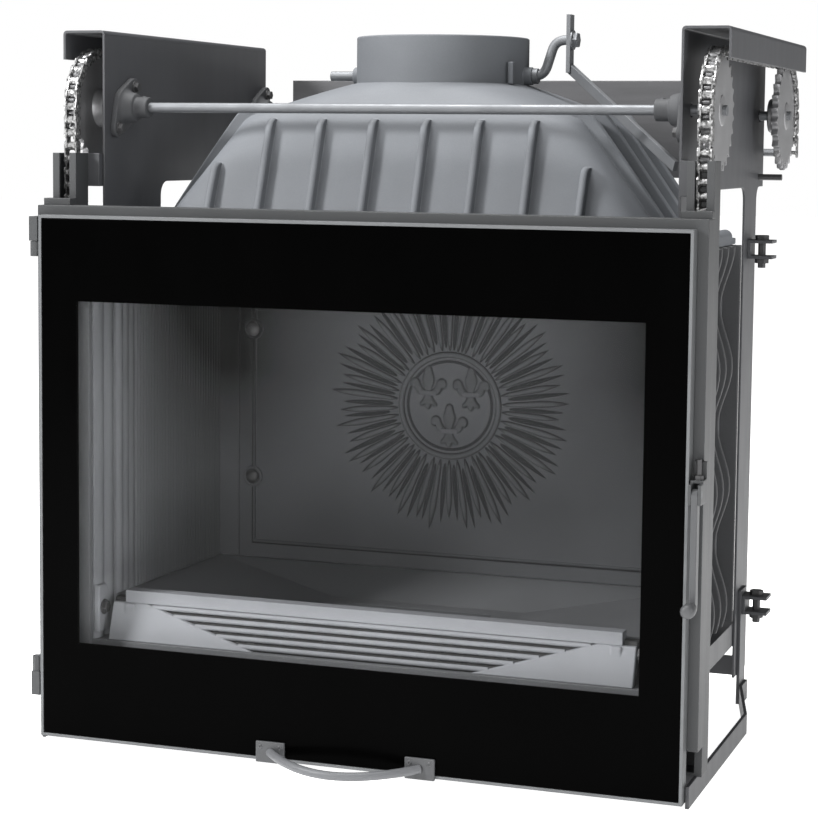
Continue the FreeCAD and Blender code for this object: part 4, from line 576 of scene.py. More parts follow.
def soften(piece, width, segments=2):
    return modify(piece, "BEVEL", width=width, segments=segments, limit_method="ANGLE",
                  angle_limit=BEVEL_ANGLE)


def pick(piece, kind, test):
    """Select the faces, edges or vertices that pass a test, and stay in edit mode."""
    activate(piece)
    bpy.ops.object.mode_set(mode="EDIT")
    bpy.ops.mesh.select_mode(type=kind)
    bpy.ops.mesh.select_all(action="DESELECT")
    bpy.ops.object.mode_set(mode="OBJECT")
    items = {"FACE": piece.data.polygons, "EDGE": piece.data.edges, "VERT": piece.data.vertices}[kind]
    for item in items:
        item.select = test(item)
    bpy.ops.object.mode_set(mode="EDIT")


def clean(piece, caps=False):
    """Merge doubles, close open ends and turn the faces outwards."""
    activate(piece)
    bpy.ops.object.mode_set(mode="EDIT")
    bpy.ops.mesh.select_all(action="SELECT")
    bpy.ops.mesh.remove_doubles(threshold=MERGE)
    if caps:
        bpy.ops.mesh.fill_holes(sides=0)
    bpy.ops.mesh.select_all(action="SELECT")
    bpy.ops.mesh.normals_make_consistent(inside=False)
    bpy.ops.object.mode_set(mode="OBJECT")
    return piece


def cuboid(name, low, high):
    low = Vector(low)
    high = Vector(high)
    deselect()
    bpy.ops.mesh.primitive_cube_add(size=1, location=(low + high) / 2)
    bpy.context.object.scale = high - low
    return settle(name)


def holed(name, low, high, axis, border):
    """Block with a window through it along one axis, so that a border is left all round."""
    piece = cuboid(name, low, high)
    pick(piece, "FACE", lambda face: abs(face.normal[axis]) > 0.5)
    bpy.ops.mesh.inset(thickness=border, use_boundary=True)
    bpy.ops.mesh.bridge_edge_loops()
    return clean(piece)


def lofted(name, rows, wrap=True, caps=True):
    """Skin over rows of points, laid on a grid row by row."""
    across = len(rows[0]) + int(wrap)
    deselect()
    bpy.ops.mesh.primitive_grid_add(x_subdivisions=across - 1, y_subdivisions=len(rows) - 1)
    piece = bpy.context.object
    for j, row in enumerate(rows):
        for i in range(across):
            piece.data.vertices[j * across + i].co = row[i % len(row)]
    settle(name)
    return clean(piece, caps)


def ring(centre, across, up, radius, sides):
    """Circle of points about a centre, in the plane of two unit vectors."""
    turns = [2 * pi * k / sides for k in range(sides)]
    return [centre + across * (radius * cos(t)) + up * (radius * sin(t)) for t in turns]


def square_to(direction):
    """Two unit vectors at right angles to a direction."""
    other = Z_AXIS if abs(direction.z) < 0.9 else X_AXIS
    across = direction.cross(other).normalized()
    return across, direction.cross(across).normalized()


def turned(name, foot, direction, profile, sides=32, hollow=False):
    """Lathe-turned piece: profile rows are (distance along the axis, radius), closed on itself if hollow."""
    across, up = square_to(direction)
    rows = [ring(foot + direction * along, across, up, radius, sides) for along, radius in profile]
    if hollow:
        rows.append(rows[0])
    return smooth(lofted(name, rows, caps=not hollow))


def plate_of(name, outline, thickness):
    """Flat plate: an outline of points, filled and drawn out by a vector."""
    deselect()
    bpy.ops.mesh.primitive_circle_add(vertices=len(outline), fill_type="NGON")
    piece = bpy.context.object
    for vertex, point in zip(piece.data.vertices, outline):
        vertex.co = point
    bpy.ops.object.mode_set(mode="EDIT")
    bpy.ops.mesh.select_all(action="SELECT")
    bpy.ops.mesh.extrude_region_move(TRANSFORM_OT_translate={"value": thickness})
    return clean(settle(name))


def tube(name, path, normal, radius, sides=20):
    """Round bar along a path that lies in one plane."""
    rows = []
    for k, point in enumerate(path):
        along = (path[min(k + 1, len(path) - 1)] - path[max(k - 1, 0)]).normalized()
        rows.append(ring(point, normal, along.cross(normal), radius, sides))
    return smooth(lofted(name, rows))


def rounded_path(corners, cut, steps=8):
    """Path through corners, each rounded off from a distance before it to the same after it."""
    path = [corners[0]]
    for before, corner, after in zip(corners, corners[1:], corners[2:]):
        start = corner + (before - corner).normalized() * cut
        end = corner + (after - corner).normalized() * cut
        for k in range(steps + 1):
            t = k / steps
            path.append(start * (1 - t) ** 2 + corner * (2 * t * (1 - t)) + end * t ** 2)
    return path + [corners[-1]]


def copy_of(piece, name, matrix):
    """Copy with its own mesh, put in place by a matrix."""
    activate(piece)
    bpy.ops.object.duplicate()
    made = bpy.context.object
    made.data.transform(matrix)
    if matrix.determinant() < 0:
        made.data.flip_normals()
    made.name = name
    made.data.name = name
    return made


def remove(*pieces):
    deselect()
    for piece in pieces:
        piece.select_set(True)
    bpy.ops.object.delete()


def join(name, pieces):
    deselect()
    for piece in pieces:
        piece.select_set(True)
    bpy.context.view_layer.objects.active = pieces[0]
    bpy.ops.object.join()
    return settle(name)


def dress(piece, finish, body, *nodes):
    """Give a piece its finish, the body that it rides on and the nodes that it stands for."""
    piece.data.materials.clear()
    piece.data.materials.append(FINISHES[finish])
    if body:
        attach(piece, body)
    if nodes:
        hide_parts(*nodes)
    return piece


def side_to_side(piece, name):
    """Mirror copy on the other side of the middle."""
    return copy_of(piece, name, Matrix.Diagonal((-1, 1, 1, 1)))


def hex_bolt(name, place, direction, radius, height):
    """Hexagon head on a washer, seated at a place and pointing along a direction."""
    across, up = square_to(direction)
    washer = turned(name + "_washer", place, direction, ((0, radius * 1.25), (height * 0.22, radius * 1.25),
                                                         (height * 0.24, radius * 1.2)), 24)
    rows = []
    for along, reach in ((0.2, 1.0), (0.88, 1.0), (1.0, 0.9)):
        rows.append(ring(place + direction * (height * along), across, up, radius * reach, 6))
    head = lofted(name + "_head", rows)
    return join(name, [head, washer])


def pan_screw(name, place, direction, radius):
    """Low domed screw head with a socket in it."""
    deep = radius * 0.55
    return turned(name, place, direction, (
        (0, radius), (deep * 0.45, radius), (deep * 0.85, radius * 0.82), (deep, radius * 0.55),
        (deep * 0.45, radius * 0.42), (deep * 0.4, radius * 0.02)), 18)


# Finishes of the frame's own pieces

# Pieces whose finish differs from the others in their material slot
OWN_FINISH = {"damper_flap": "flap_steel", "latch_lever": "lever_paint"}

# Radius of the rounded edges, and the frame's own pieces that have it
ROUNDED = {
    THIN_EDGE: ("door_frame", "lift_frame", "left_guide_rail", "right_guide_rail", "frame_brackets",
                "foot_bars", "rear_feet", "cross_bars", "side_rails", "latch_bracket", "latch_lever",
                "frame_tabs"),
    BLOCK_EDGE: ("mouth_frame", "hearth_base", "counterweight", "hinge_blocks"),
    BAR_EDGE: ("log_bar",),
}


class HEARTH_OT_finishes(bpy.types.Operator):
    """Make the finishes and give them to the frame's own pieces"""

    bl_idname = "hearth.finishes"
    bl_label = "Finishes"

    def execute(self, context):
        colours = context.scene.hearth_colours
        for name, (slot, maker, depth) in FINISH_MAKERS.items():
            FINISHES[name] = maker(name, Vector(getattr(colours, slot)) * depth)
        for row in frame["record"]["subparts"]:
            node = frame["nodes"][row["node"]]
            node.data.materials.clear()
            node.data.materials.append(FINISHES[OWN_FINISH.get(row["node"], row["material_slot"])])
        for width, names in ROUNDED.items():
            for name in names:
                edges = frame["nodes"][name].modifiers.new("edges", "BEVEL")
                edges.width = width
                edges.segments = 2
                edges.limit_method = "ANGLE"
                edges.angle_limit = BEVEL_ANGLE
        return {"FINISHED"}


class HEARTH_OT_glazing(bpy.types.Operator):
    """Pane of the door, with its clear window and the black border printed round it"""

    bl_idname = "hearth.glazing"
    bl_label = "Glazing"

    def execute(self, context):
        sizes = context.scene.hearth_sizes
        low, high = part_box("door_glass")
        high.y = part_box("printed_border")[1].y
        pane = soften(cuboid("door_pane", low, high), PLATE_EDGE)
        cuts = ((-sizes.window_half_width, X_AXIS), (sizes.window_half_width, X_AXIS),
                (sizes.window_bottom, Z_AXIS), (sizes.window_top, Z_AXIS))
        for reach, axis in cuts:
            activate(pane)
            bpy.ops.object.mode_set(mode="EDIT")
            bpy.ops.mesh.select_all(action="SELECT")
            bpy.ops.mesh.bisect(plane_co=axis * reach, plane_no=axis)
        deselect()
        dress(pane, "print_black", "door", "door_glass", "printed_border")
        pane.data.materials.append(FINISHES["window_glass"])
        for face in pane.data.polygons:
            in_width = abs(face.center.x) < sizes.window_half_width
            in_height = sizes.window_bottom < face.center.z < sizes.window_top
            face.material_index = int(in_width and in_height)
        return {"FINISHED"}


# Hood

# Plan of the hood at three heights: half width, front, rear, squareness and height
HOOD_ROWS = {
    "base": (0.322, -0.16905, 0.15495, 10.0, 0.606),
    "shoulder": (0.217, -0.11605, 0.15495, 8.0, 0.754),
    "neck": (0.107, -0.07405, 0.13995, 2.0, 0.797),
}
HOOD_POINTS = 128
SHOULDER_START = 0.95
SHOULDER_END = 0.14
NECK_REACH = 2.0
FRONT_RIBS = 8
END_RIB_REACH = 0.62
FRONT_RIB_REACH = 1.02
SIDE_RIBS = 4
SIDE_RIB_FIRST = -0.085
SIDE_RIB_PITCH = 0.06
SIDE_RIB_REACH = 1.16


def hood_row(u):
    """Plan of the hood (half width, front, rear, squareness, height): slope to 1, dome to 2."""
    base, shoulder, neck = (Vector(HOOD_ROWS[name]) for name in ("base", "shoulder", "neck"))
    start = base.lerp(shoulder, SHOULDER_START)
    end = shoulder.lerp(neck, SHOULDER_END)
    if u < SHOULDER_START:
        return base.lerp(shoulder, u)
    if u > 1 + SHOULDER_END:
        return shoulder.lerp(neck, u - 1)
    t = (u - SHOULDER_START) / (1 + SHOULDER_END - SHOULDER_START)
    return start * (1 - t) ** 2 + shoulder * (2 * t * (1 - t)) + end * t ** 2


def hood_outline(u):
    half, front, rear, power, height = hood_row(u)
    depth = (rear - front) / 2
    points = []
    for k in range(HOOD_POINTS):
        turn = 2 * pi * k / HOOD_POINTS
        x = half * copysign(abs(cos(turn)) ** (2 / power), cos(turn))
        y = depth * copysign(abs(sin(turn)) ** (2 / power), sin(turn))
        points.append(Vector((x, (front + rear) / 2 + y, height)))
    return points


def hood_front(x, u):
    half, front, rear, power, height = hood_row(u)
    share = (1 - min(1, abs(x) / half) ** power) ** (1 / power)
    return Vector((x, (front + rear) / 2 - (rear - front) / 2 * share, height))


def hood_side(y, u):
    half, front, rear, power, height = hood_row(u)
    place = abs(y - (front + rear) / 2) / ((rear - front) / 2)
    return Vector((half * (1 - min(1, place) ** power) ** (1 / power), y, height))


def hood_rib(name, place, across, last, width, proud):
    """Cast rib up the hood: full height at the foot, running out at the top."""
    steps = 22
    probe = 0.02
    run_out = 9
    sunk = 0.001
    root = -0.004
    corner = 0.0022
    crown = 0.0007
    rows = []
    for k in range(steps + 1):
        u = last * k / steps
        along = place(u + probe) - place(max(0, u - probe))
        out = along.cross(across).normalized()
        if out.z < 0:
            out = -out
        height = proud * min(1, (1 - k / steps) * run_out) ** 0.6 - sunk
        section = ((-0.5, root), (-0.5, height - corner), (-0.36, height - crown), (-0.16, height),
                   (0.16, height), (0.36, height - crown), (0.5, height - corner), (0.5, root))
        rows.append([place(u) + across * (width * side) + out * high for side, high in section])
    return smooth(lofted(name, rows))


class HEARTH_OT_hood(bpy.types.Operator):
    """Cast smoke hood with rounded shoulders, ribs on three sides and a bolted flange"""

    bl_idname = "hearth.hood"
    bl_label = "Hood"

    def execute(self, context):
        sizes = context.scene.hearth_sizes
        steps = 40
        rows = [hood_outline(NECK_REACH * k / steps) for k in range(steps + 1)]
        shell = lofted("hood_shell", rows, caps=False)
        modify(shell, "SOLIDIFY", thickness=sizes.hood_wall, offset=-1.0)
        smooth(shell)
        pieces = [shell, self.flange(sizes)] + self.beads()
        for k in range(FRONT_RIBS):
            x = (k - (FRONT_RIBS - 1) / 2) * sizes.rib_pitch
            last = END_RIB_REACH if k in (0, FRONT_RIBS - 1) else FRONT_RIB_REACH
            pieces.append(hood_rib("front_rib", lambda u, x=x: hood_front(x, u), X_AXIS, last,
                                   sizes.rib_width, sizes.rib_proud))
        for k in range(SIDE_RIBS):
            y = SIDE_RIB_FIRST + SIDE_RIB_PITCH * k
            rib = hood_rib("side_rib", lambda u, y=y: hood_side(y, u), Y_AXIS, SIDE_RIB_REACH,
                           sizes.rib_width, sizes.rib_proud)
            pieces += [rib, side_to_side(rib, "side_rib")]
        dress(join("smoke_hood", pieces), "hood_iron", "fixed_body", "hood")
        return {"FINISHED"}

    def beads(self):
        """Rolled beads along the two side edges of the flange."""
        low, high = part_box("hood")
        radius = 0.0095
        inset = 0.02
        end = radius * 0.7
        taper = radius * 0.3
        foot = Vector((high.x - radius, low.y + inset, low.z + radius))
        span = high.y - low.y - 2 * inset
        bead = turned("flange_bead", foot, Y_AXIS,
                      ((0, end), (taper, radius), (span - taper, radius), (span, end)), 24)
        return [bead, side_to_side(bead, "flange_bead")]

    def flange(self, sizes):
        low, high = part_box("hood")
        border = high.x - HOOD_ROWS["base"][0] + sizes.hood_wall
        plate = holed("hood_flange", low, (high.x, high.y, low.z + sizes.hood_wall), 2, border)
        pick(plate, "VERT", lambda v: abs(v.co.y - low.y - border) < HAIR)
        bpy.ops.transform.translate(value=(0, HOOD_ROWS["base"][1] + sizes.hood_wall - low.y - border, 0))
        pick(plate, "VERT", lambda v: abs(v.co.y - high.y + border) < HAIR)
        bpy.ops.transform.translate(value=(0, HOOD_ROWS["base"][2] - sizes.hood_wall - high.y + border, 0))
        deselect()
        return soften(plate, FLANGE_EDGE)


# Fireback

# Profiles of turned pieces: distance along the axis and radius
BOSS_PROFILE = ((0, 0.0142), (0.0034, 0.0136), (0.004, 0.0126), (0.004, 0.0112), (0.003, 0.0106))
BOLT_PROFILE = ((-0.064, 0.0062), (0.002, 0.0062), (0.0022, 0.0094), (0.0052, 0.0092), (0.0074, 0.0074),
                (0.0086, 0.0044), (0.0088, 0.0006))

# Frames round the fireback: inset, width and how far they stand out
BORDER_GROOVE = (0.0182, 0.0028, 0.0006)
BORDER_BEAD = (0.0205, 0.0036, 0.0028)
RELIEF = 0.003
RING_THICKNESS = 0.0042
INNER_RING_GAP = 0.009
INNER_RING_THICKNESS = 0.002
LILY_PLACES = ((-0.029, 0.0165), (0.029, 0.0165), (0, -0.032))
LILY_HEIGHT = 0.033
LILY_PROUD = 0.0026
# Wider, lower copy under each lily, which the fire iron paints dark: a sooty rim with painted shade round its
# foot.
DARK_RIM_PROUD = 0.0008
DARK_RIM_SPREAD = 0.0016

# Right half of a lily's outline, from its tip to its foot
LILY = ((0.0, 1.0), (0.14, 0.72), (0.2, 0.48), (0.12, 0.22), (0.09, 0.06), (0.24, 0.1), (0.36, 0.28),
        (0.44, 0.46), (0.6, 0.5), (0.7, 0.36), (0.64, 0.2), (0.54, 0.22), (0.5, 0.1), (0.38, -0.04),
        (0.12, -0.06), (0.12, -0.16), (0.2, -0.34), (0.3, -0.5), (0.12, -0.44), (0.0, -0.62))


def lily(name, centre, height, proud, grow=0.0):
    """Raised lily: half an outline and its mirror, widened if asked, filled and given a thickness."""
    half = [Vector(point) for point in LILY]
    outline = half + [Vector((-p.x, p.y)) for p in reversed(half[1:-1])]
    curve = bpy.data.curves.new(name, "CURVE")
    curve.dimensions = "2D"
    curve.fill_mode = "BOTH"
    curve.extrude = proud / 2
    curve.bevel_depth = proud / 3
    curve.bevel_resolution = 1
    curve.offset = grow
    curve.resolution_u = 3
    spline = curve.splines.new("BEZIER")
    spline.bezier_points.add(len(outline) - 1)
    spline.use_cyclic_u = True
    for point, place in zip(spline.bezier_points, outline):
        point.co = (place.x * height, place.y * height, 0)
        point.handle_left_type = "AUTO"
        point.handle_right_type = "AUTO"
    piece = bpy.data.objects.new(name, curve)
    bpy.context.collection.objects.link(piece)
    activate(piece)
    bpy.ops.object.convert(target="MESH")
    piece = bpy.context.object
    piece.data.transform(Matrix.Translation(centre) @ Matrix.Rotation(pi / 2, 4, "X"))
    settle(name)
    return smooth(clean(piece))


class HEARTH_OT_fireback(bpy.types.Operator):
    """Cast fireback with a moulded border, a ring of rays and three lilies"""

    bl_idname = "hearth.fireback"
    bl_label = "Fireback"

    def execute(self, context):
        sizes = context.scene.hearth_sizes
        low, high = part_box("fireback")
        face = low.y + RELIEF
        sunk = 0.002
        centre = Vector((0, face, sizes.sun_height))
        pieces = [soften(cuboid("fireback_plate", (low.x, face, low.z), high), PLATE_EDGE)]
        for inset, width, proud in (BORDER_GROOVE, BORDER_BEAD):
            edge = holed("fireback_border", (low.x + inset, face - proud, low.z + inset),
                         (high.x - inset, face + sunk, high.z - inset), 1, width)
            pieces.append(soften(edge, proud / 2, 3))
        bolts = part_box("fireback_bolts")
        heads = []
        for x in (bolts[0].x + sizes.head_radius, bolts[1].x - sizes.head_radius):
            for z in (bolts[0].z + sizes.head_radius, bolts[1].z - sizes.head_radius):
                place = Vector((x, face + sunk / 2, z))
                pieces.append(turned("fireback_boss", place, -Y_AXIS, BOSS_PROFILE))
                heads.append(turned("fireback_bolt", place, -Y_AXIS, BOLT_PROFILE, 24))
        dress(join("fireback_heads", heads), "bolt_steel", "fixed_body", "fireback_bolts")
        pieces += self.rays(sizes, centre)
        for radius, thick in ((sizes.ring_radius, RING_THICKNESS),
                              (sizes.ring_radius - INNER_RING_GAP, INNER_RING_THICKNESS)):
            deselect()
            bpy.ops.mesh.primitive_torus_add(major_radius=radius, minor_radius=thick, major_segments=96,
                                             minor_segments=10, location=centre, rotation=(pi / 2, 0, 0))
            bpy.context.object.scale = (1, 1, 0.7)
            pieces.append(smooth(settle("fireback_ring")))
        for x, z in LILY_PLACES:
            place = centre + Vector((x, -0.0004, z))
            pieces.append(lily("fireback_lily", place, LILY_HEIGHT, LILY_PROUD))
            # Dark rim under the lily: sooty, and painted shade round its foot.
            pieces.append(lily("lily_dark_rim", place, LILY_HEIGHT, DARK_RIM_PROUD, DARK_RIM_SPREAD))
            band = cuboid("lily_band", place + Vector((-0.0115, -0.0028, -0.0036)),
                          place + Vector((0.0115, 0.001, 0.0022)))
            pieces.append(soften(band, THIN_EDGE))
        dress(join("cast_fireback", pieces), "fire_iron", "fixed_body", "fireback")
        return {"FINISHED"}

    def rays(self, sizes, centre):
        """Petals by turns long and short, with a narrow low tongue in each hollow between two of them, which the
        fire iron paints dark as a sooty stroke with painted shade.
        """
        draw = random.Random(7)
        off_ring = 0.005
        start = sizes.ring_radius + off_ring
        gap = 2 * pi / sizes.ray_count
        shorter = 0.012
        petal_spread = 0.27 * gap
        petal_proud = 0.0031
        petal_tip = 2.6
        tongue_reach = sizes.ray_reach - 0.006
        tongue_proud = 0.0009
        tongue_tip = 1.5
        pieces = []
        for k in range(sizes.ray_count):
            turn = gap * k + draw.uniform(-0.012, 0.012)
            reach = sizes.ray_reach - (shorter if k % 2 else 0.0) + draw.uniform(-0.005, 0.003)
            pieces.append(self.blade("fireback_ray", centre, turn, start, reach, petal_spread, petal_proud,
                                     petal_tip))
            reach = tongue_reach + draw.uniform(-0.012, 0.006)
            foot = start + draw.uniform(0, 0.012)
            spread = draw.uniform(0.24, 0.3) * gap
            pieces.append(self.blade("fireback_tongue", centre, turn + gap / 2, foot, reach, spread,
                                     tongue_proud, tongue_tip))
        return pieces

    def blade(self, name, centre, turn, start, reach, spread, proud, tip):
        """Raised blade that widens outwards from the middle of the sun and then comes to a point."""
        out = Vector((sin(turn), 0, cos(turn)))
        across = Vector((cos(turn), 0, -sin(turn)))
        steps = 12
        foot = 0.0008
        rows = []
        for j in range(steps + 1):
            t = j / steps
            radius = start + (reach - start) * t
            half = radius * spread * min(1.0, (1 - t) * tip + 0.02) ** 0.7 * min(1.0, t * 6 + 0.4)
            high = proud * min(1.0, (1 - t) * 4 + 0.02) ** 0.5 * min(1.0, t * 6 + 0.3)
            section = ((-1, foot), (-0.8, -0.5 * high), (-0.4, -0.88 * high), (0, -high),
                       (0.4, -0.88 * high), (0.8, -0.5 * high), (1, foot))
            rows.append([centre + out * radius + across * (half * side) + Y_AXIS * deep
                         for side, deep in section])
        return smooth(lofted(name, rows))


# Firebox

REED_COUNT = 32
REED_DEPTH = 0.0042
LINER_PLEATS = 3
PLEAT_DEPTH = 0.0034
PLEATED_SHARE = 0.15
LINER_THICKNESS = 0.01
JAMB_PLEATS = 2
FIN_COUNT = 5
FIN_FIRST = -0.015
FIN_PITCH = 0.038
FIN_THICKNESS = 0.006
FIN_PAST_PLATE = 0.0065
FIN_WAVE = 0.15
FIN_SWING = 0.38


class HEARTH_OT_firebox(bpy.types.Operator):
    """Side walls with wavy fins outside and pleats at the mouth, reeded liners and lugs with bolts"""

    bl_idname = "hearth.firebox"
    bl_label = "Firebox"

    def execute(self, context):
        low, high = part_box("side_walls")
        liner_low, liner_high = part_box("side_liners")
        mouth_low, mouth_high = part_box("mouth_frame")
        casting = mouth_high.y - mouth_low.y
        self.front = Vector((high.x - casting, low.y, 0))
        self.rear = Vector((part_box("rear_wall")[1].x - casting, high.y, 0))
        wall = self.wall(casting, low.z, high.z)
        dress(join("firebox_walls", [wall, side_to_side(wall, "firebox_wall")]), "box_iron", "fixed_body",
              "side_walls")
        fins = self.fins(casting, low.z, high.z)
        fins += [side_to_side(piece, piece.name) for piece in fins]
        dress(join("cooling_fins", fins), "fin_iron", "fixed_body")
        liners = [self.liner(liner_low, liner_high), self.corner(liner_high),
                  self.jamb(low, liner_low, liner_high)]
        liners += [side_to_side(piece, piece.name) for piece in liners]
        dress(join("reeded_liners", liners), "fire_iron", "fixed_body", "side_liners")
        self.lugs(low)
        self.sill()
        return {"FINISHED"}

    def inside(self, y):
        """Inner face of the right wall, which splays towards the mouth."""
        return self.front.lerp(self.rear, (y - self.front.y) / (self.rear.y - self.front.y)).x

    def wall(self, casting, bottom, top):
        outline = [(self.front.x, self.front.y), (self.rear.x, self.rear.y),
                   (self.rear.x + casting, self.rear.y), (self.front.x + casting, self.front.y)]
        points = [Vector((x, y, bottom)) for x, y in outline]
        return soften(plate_of("firebox_wall", points, (0, 0, top - bottom)), PLATE_EDGE)

    def fins(self, casting, bottom, top):
        """Upright cooling fins whose outer edges wave in and out, but for the straight one at the back."""
        steps = 48
        sunk = 0.001
        fins = []
        for k in range(FIN_COUNT):
            y = FIN_FIRST + FIN_PITCH * k
            root = self.inside(y) + casting - sunk
            reach = PLATE_X + FIN_PAST_PLATE - root
            outline = [Vector((root, y, top)), Vector((root, y, bottom))]
            for j in range(steps + 1):
                z = bottom + (top - bottom) * j / steps
                wave = 1 - FIN_SWING + FIN_SWING * cos(2 * pi * z / FIN_WAVE) if k < FIN_COUNT - 1 else 1.0
                outline.append(Vector((root + reach * wave, y, z)))
            fins.append(soften(plate_of("firebox_fin", outline, (0, FIN_THICKNESS, 0)), THIN_EDGE))
        return fins

    def liner(self, low, high):
        """Right liner as a plan outline: broad pleats at the mouth and then fine reeds."""
        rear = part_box("fireback")[0].y + RELIEF
        pleats = low.y + PLEATED_SHARE * (high.y - low.y)
        bands = ((low.y, pleats, LINER_PLEATS, PLEAT_DEPTH), (pleats, rear, REED_COUNT, REED_DEPTH))
        outline = [(self.inside(rear), rear), (self.inside(low.y), low.y)]
        per_reed = 6
        for start, end, count, depth in bands:
            for k in range(count * per_reed):
                y = start + (end - start) * k / (count * per_reed)
                rise = depth * abs(sin(pi * k / per_reed)) ** 0.4
                outline.append((self.inside(y) - LINER_THICKNESS + PLEAT_DEPTH - rise, y))
        points = [Vector((x, y, low.z)) for x, y in outline]
        return smooth(plate_of("reeded_liner", points, (0, 0, high.z - low.z)))

    def jamb(self, wall_low, low, high):
        """Pleated strip on the wall between the mouth and the liner."""
        per_pleat = 8
        steps = JAMB_PLEATS * per_pleat
        floor = 0.0025
        depth = 0.0035
        outline = [(self.inside(low.y), low.y), (self.inside(wall_low.y), wall_low.y)]
        for k in range(steps + 1):
            y = wall_low.y + (low.y - wall_low.y) * k / steps
            outline.append((self.inside(y) - floor - depth * abs(sin(pi * k / per_pleat)), y))
        points = [Vector((x, y, low.z)) for x, y in outline]
        return smooth(plate_of("mouth_jamb", points, (0, 0, high.z - low.z)))

    def corner(self, high):
        """Strip between the liner and the fireback."""
        back_low, back_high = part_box("fireback")
        rear = back_low.y + RELIEF
        gap = 0.001
        off_wall = 0.005
        strip = cuboid("liner_corner", (back_high.x + gap, rear, back_low.z),
                       (self.inside(rear) - off_wall, high.y, high.z))
        return soften(strip, CAST_EDGE)

    def sill(self):
        """Leaning sill: round louvre bars before a dark plate, which is partly sooty and partly painted shade
        behind the bars, between two triangular cheeks.
        """
        low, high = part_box("front_sill")
        foot = low.y + 0.0045
        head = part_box("log_bar")[0].y + 0.005
        half = high.x
        cheek_foot = 0.19
        cheek_lean = 0.162
        cheek_front = 0.0042
        cheek_depth = 0.007
        plate_back = 0.001
        plate_foot = 0.012
        bar_front = 0.0008

        def face(z):
            return foot + (head - foot) * (z - low.z) / (high.z - low.z)

        def reach(z):
            """Half the length of a bar, which ends at the slanting edge of the cheek."""
            return half - cheek_foot + cheek_lean * (z - low.z) / (high.z - low.z)

        plate = plate_of("sill_plate", [Vector((-half, y, z)) for y, z in (
            (face(low.z) + plate_back, low.z), (face(high.z) + plate_back, high.z), (high.y, high.z),
            (face(low.z) + plate_foot, low.z))], (2 * half, 0, 0))
        # Plate painted dark behind the bars: sooty, and painted shade.
        dress(plate, "soot_iron", "fixed_body")
        bars = []
        count = 5
        radius = 0.003
        first = low.z + 0.0048
        pitch = 0.0089
        tucked = 0.004
        for k in range(count):
            z = first + k * pitch
            span = reach(z) + tucked
            bars.append(turned("sill_bar", Vector((-span, face(z) - bar_front, z)), X_AXIS,
                               ((0, radius), (2 * span, radius)), 16))
        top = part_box("log_bar")[0].z
        corners = ((half, low.z), (half, top), (reach(top), top), (reach(low.z), low.z))
        outline = [Vector((x, face(z) - cheek_front, z)) for x, z in corners]
        cheek = soften(plate_of("sill_cheek", outline, (0, cheek_depth, 0)), CAST_EDGE)
        ear = cuboid("sill_ear", (half - 0.03, face(top) - 0.0078, top - 0.02),
                     (half - 0.016, face(top) + 0.002, top - 0.0005))
        bars += [cheek, soften(ear, EAR_EDGE, 3)]
        bars += [side_to_side(piece, piece.name) for piece in bars[-2:]]
        dress(join("louvred_sill", bars), "fire_iron", "fixed_body", "front_sill")

    def lugs(self, low):
        """Chamfered lugs low in the corners of the mouth, each with a bolt."""
        thick = 0.009
        head_radius = 0.0075
        head_height = 0.006
        face = self.front.x - thick
        foot = low.z + 0.008
        corners = ((0.0, 0.0), (0.026, 0.0), (0.026, 0.048), (0.018, 0.058), (0.0, 0.058))
        points = [Vector((face, low.y + y, foot + z)) for y, z in corners]
        lug = soften(plate_of("mouth_lug", points, (thick, 0, 0)), CAST_EDGE)
        lugs = [lug, side_to_side(lug, "mouth_lug")]
        dress(join("mouth_lugs", lugs), "fire_iron", "fixed_body")
        place = Vector((face, low.y + 0.012, foot + 0.03))
        bolt = hex_bolt("lug_bolt", place, -X_AXIS, head_radius, head_height)
        bolts = [bolt, side_to_side(bolt, "lug_bolt")]
        dress(join("lug_bolts", bolts), "bolt_steel", "fixed_body")


# Chain drive

TOOTH_TIP = 0.0042
WHEEL_BOSS_PROFILE = ((0, 0.0175), (0.0012, 0.017), (0.0016, 0.0155), (0.0016, 0.0085))
BEARING_PROFILE = ((-0.001, 0.0245), (0.0015, 0.0215), (0.0035, 0.0195), (0.011, 0.0178), (0.0135, 0.0165),
                   (0.0145, 0.014), (0.0148, 0.0125), (0.015, 0.0062))
LOCK_COLLAR_PROFILE = ((0, 0.0128), (0.017, 0.0128), (0.0182, 0.0118), (0.0184, 0.0062))


def pitch_radius(sizes):
    return sizes.pitch / 2 / sin(pi / sizes.teeth)


def link_plate(sizes, inside):
    """Waisted link plate, from a circle whose halves are drawn one pitch apart."""
    waist = 0.74
    deselect()
    bpy.ops.mesh.primitive_circle_add(vertices=16, radius=sizes.link_height / 2, fill_type="NGON")
    plate = bpy.context.object
    pick(plate, "VERT", lambda v: v.co.x > HAIR)
    bpy.ops.transform.translate(value=(sizes.pitch, 0, 0))
    pick(plate, "VERT", lambda v: abs(v.co.x) < HAIR)
    bpy.ops.transform.translate(value=(sizes.pitch / 2, 0, 0))
    bpy.ops.transform.resize(value=(1, waist, 1), center_override=(0, 0, 0))
    bpy.ops.mesh.select_all(action="SELECT")
    bpy.ops.transform.translate(value=(0, 0, inside))
    bpy.ops.mesh.extrude_region_move(TRANSFORM_OT_translate={"value": (0, 0, sizes.link_plate)})
    return clean(settle("link_plate"))


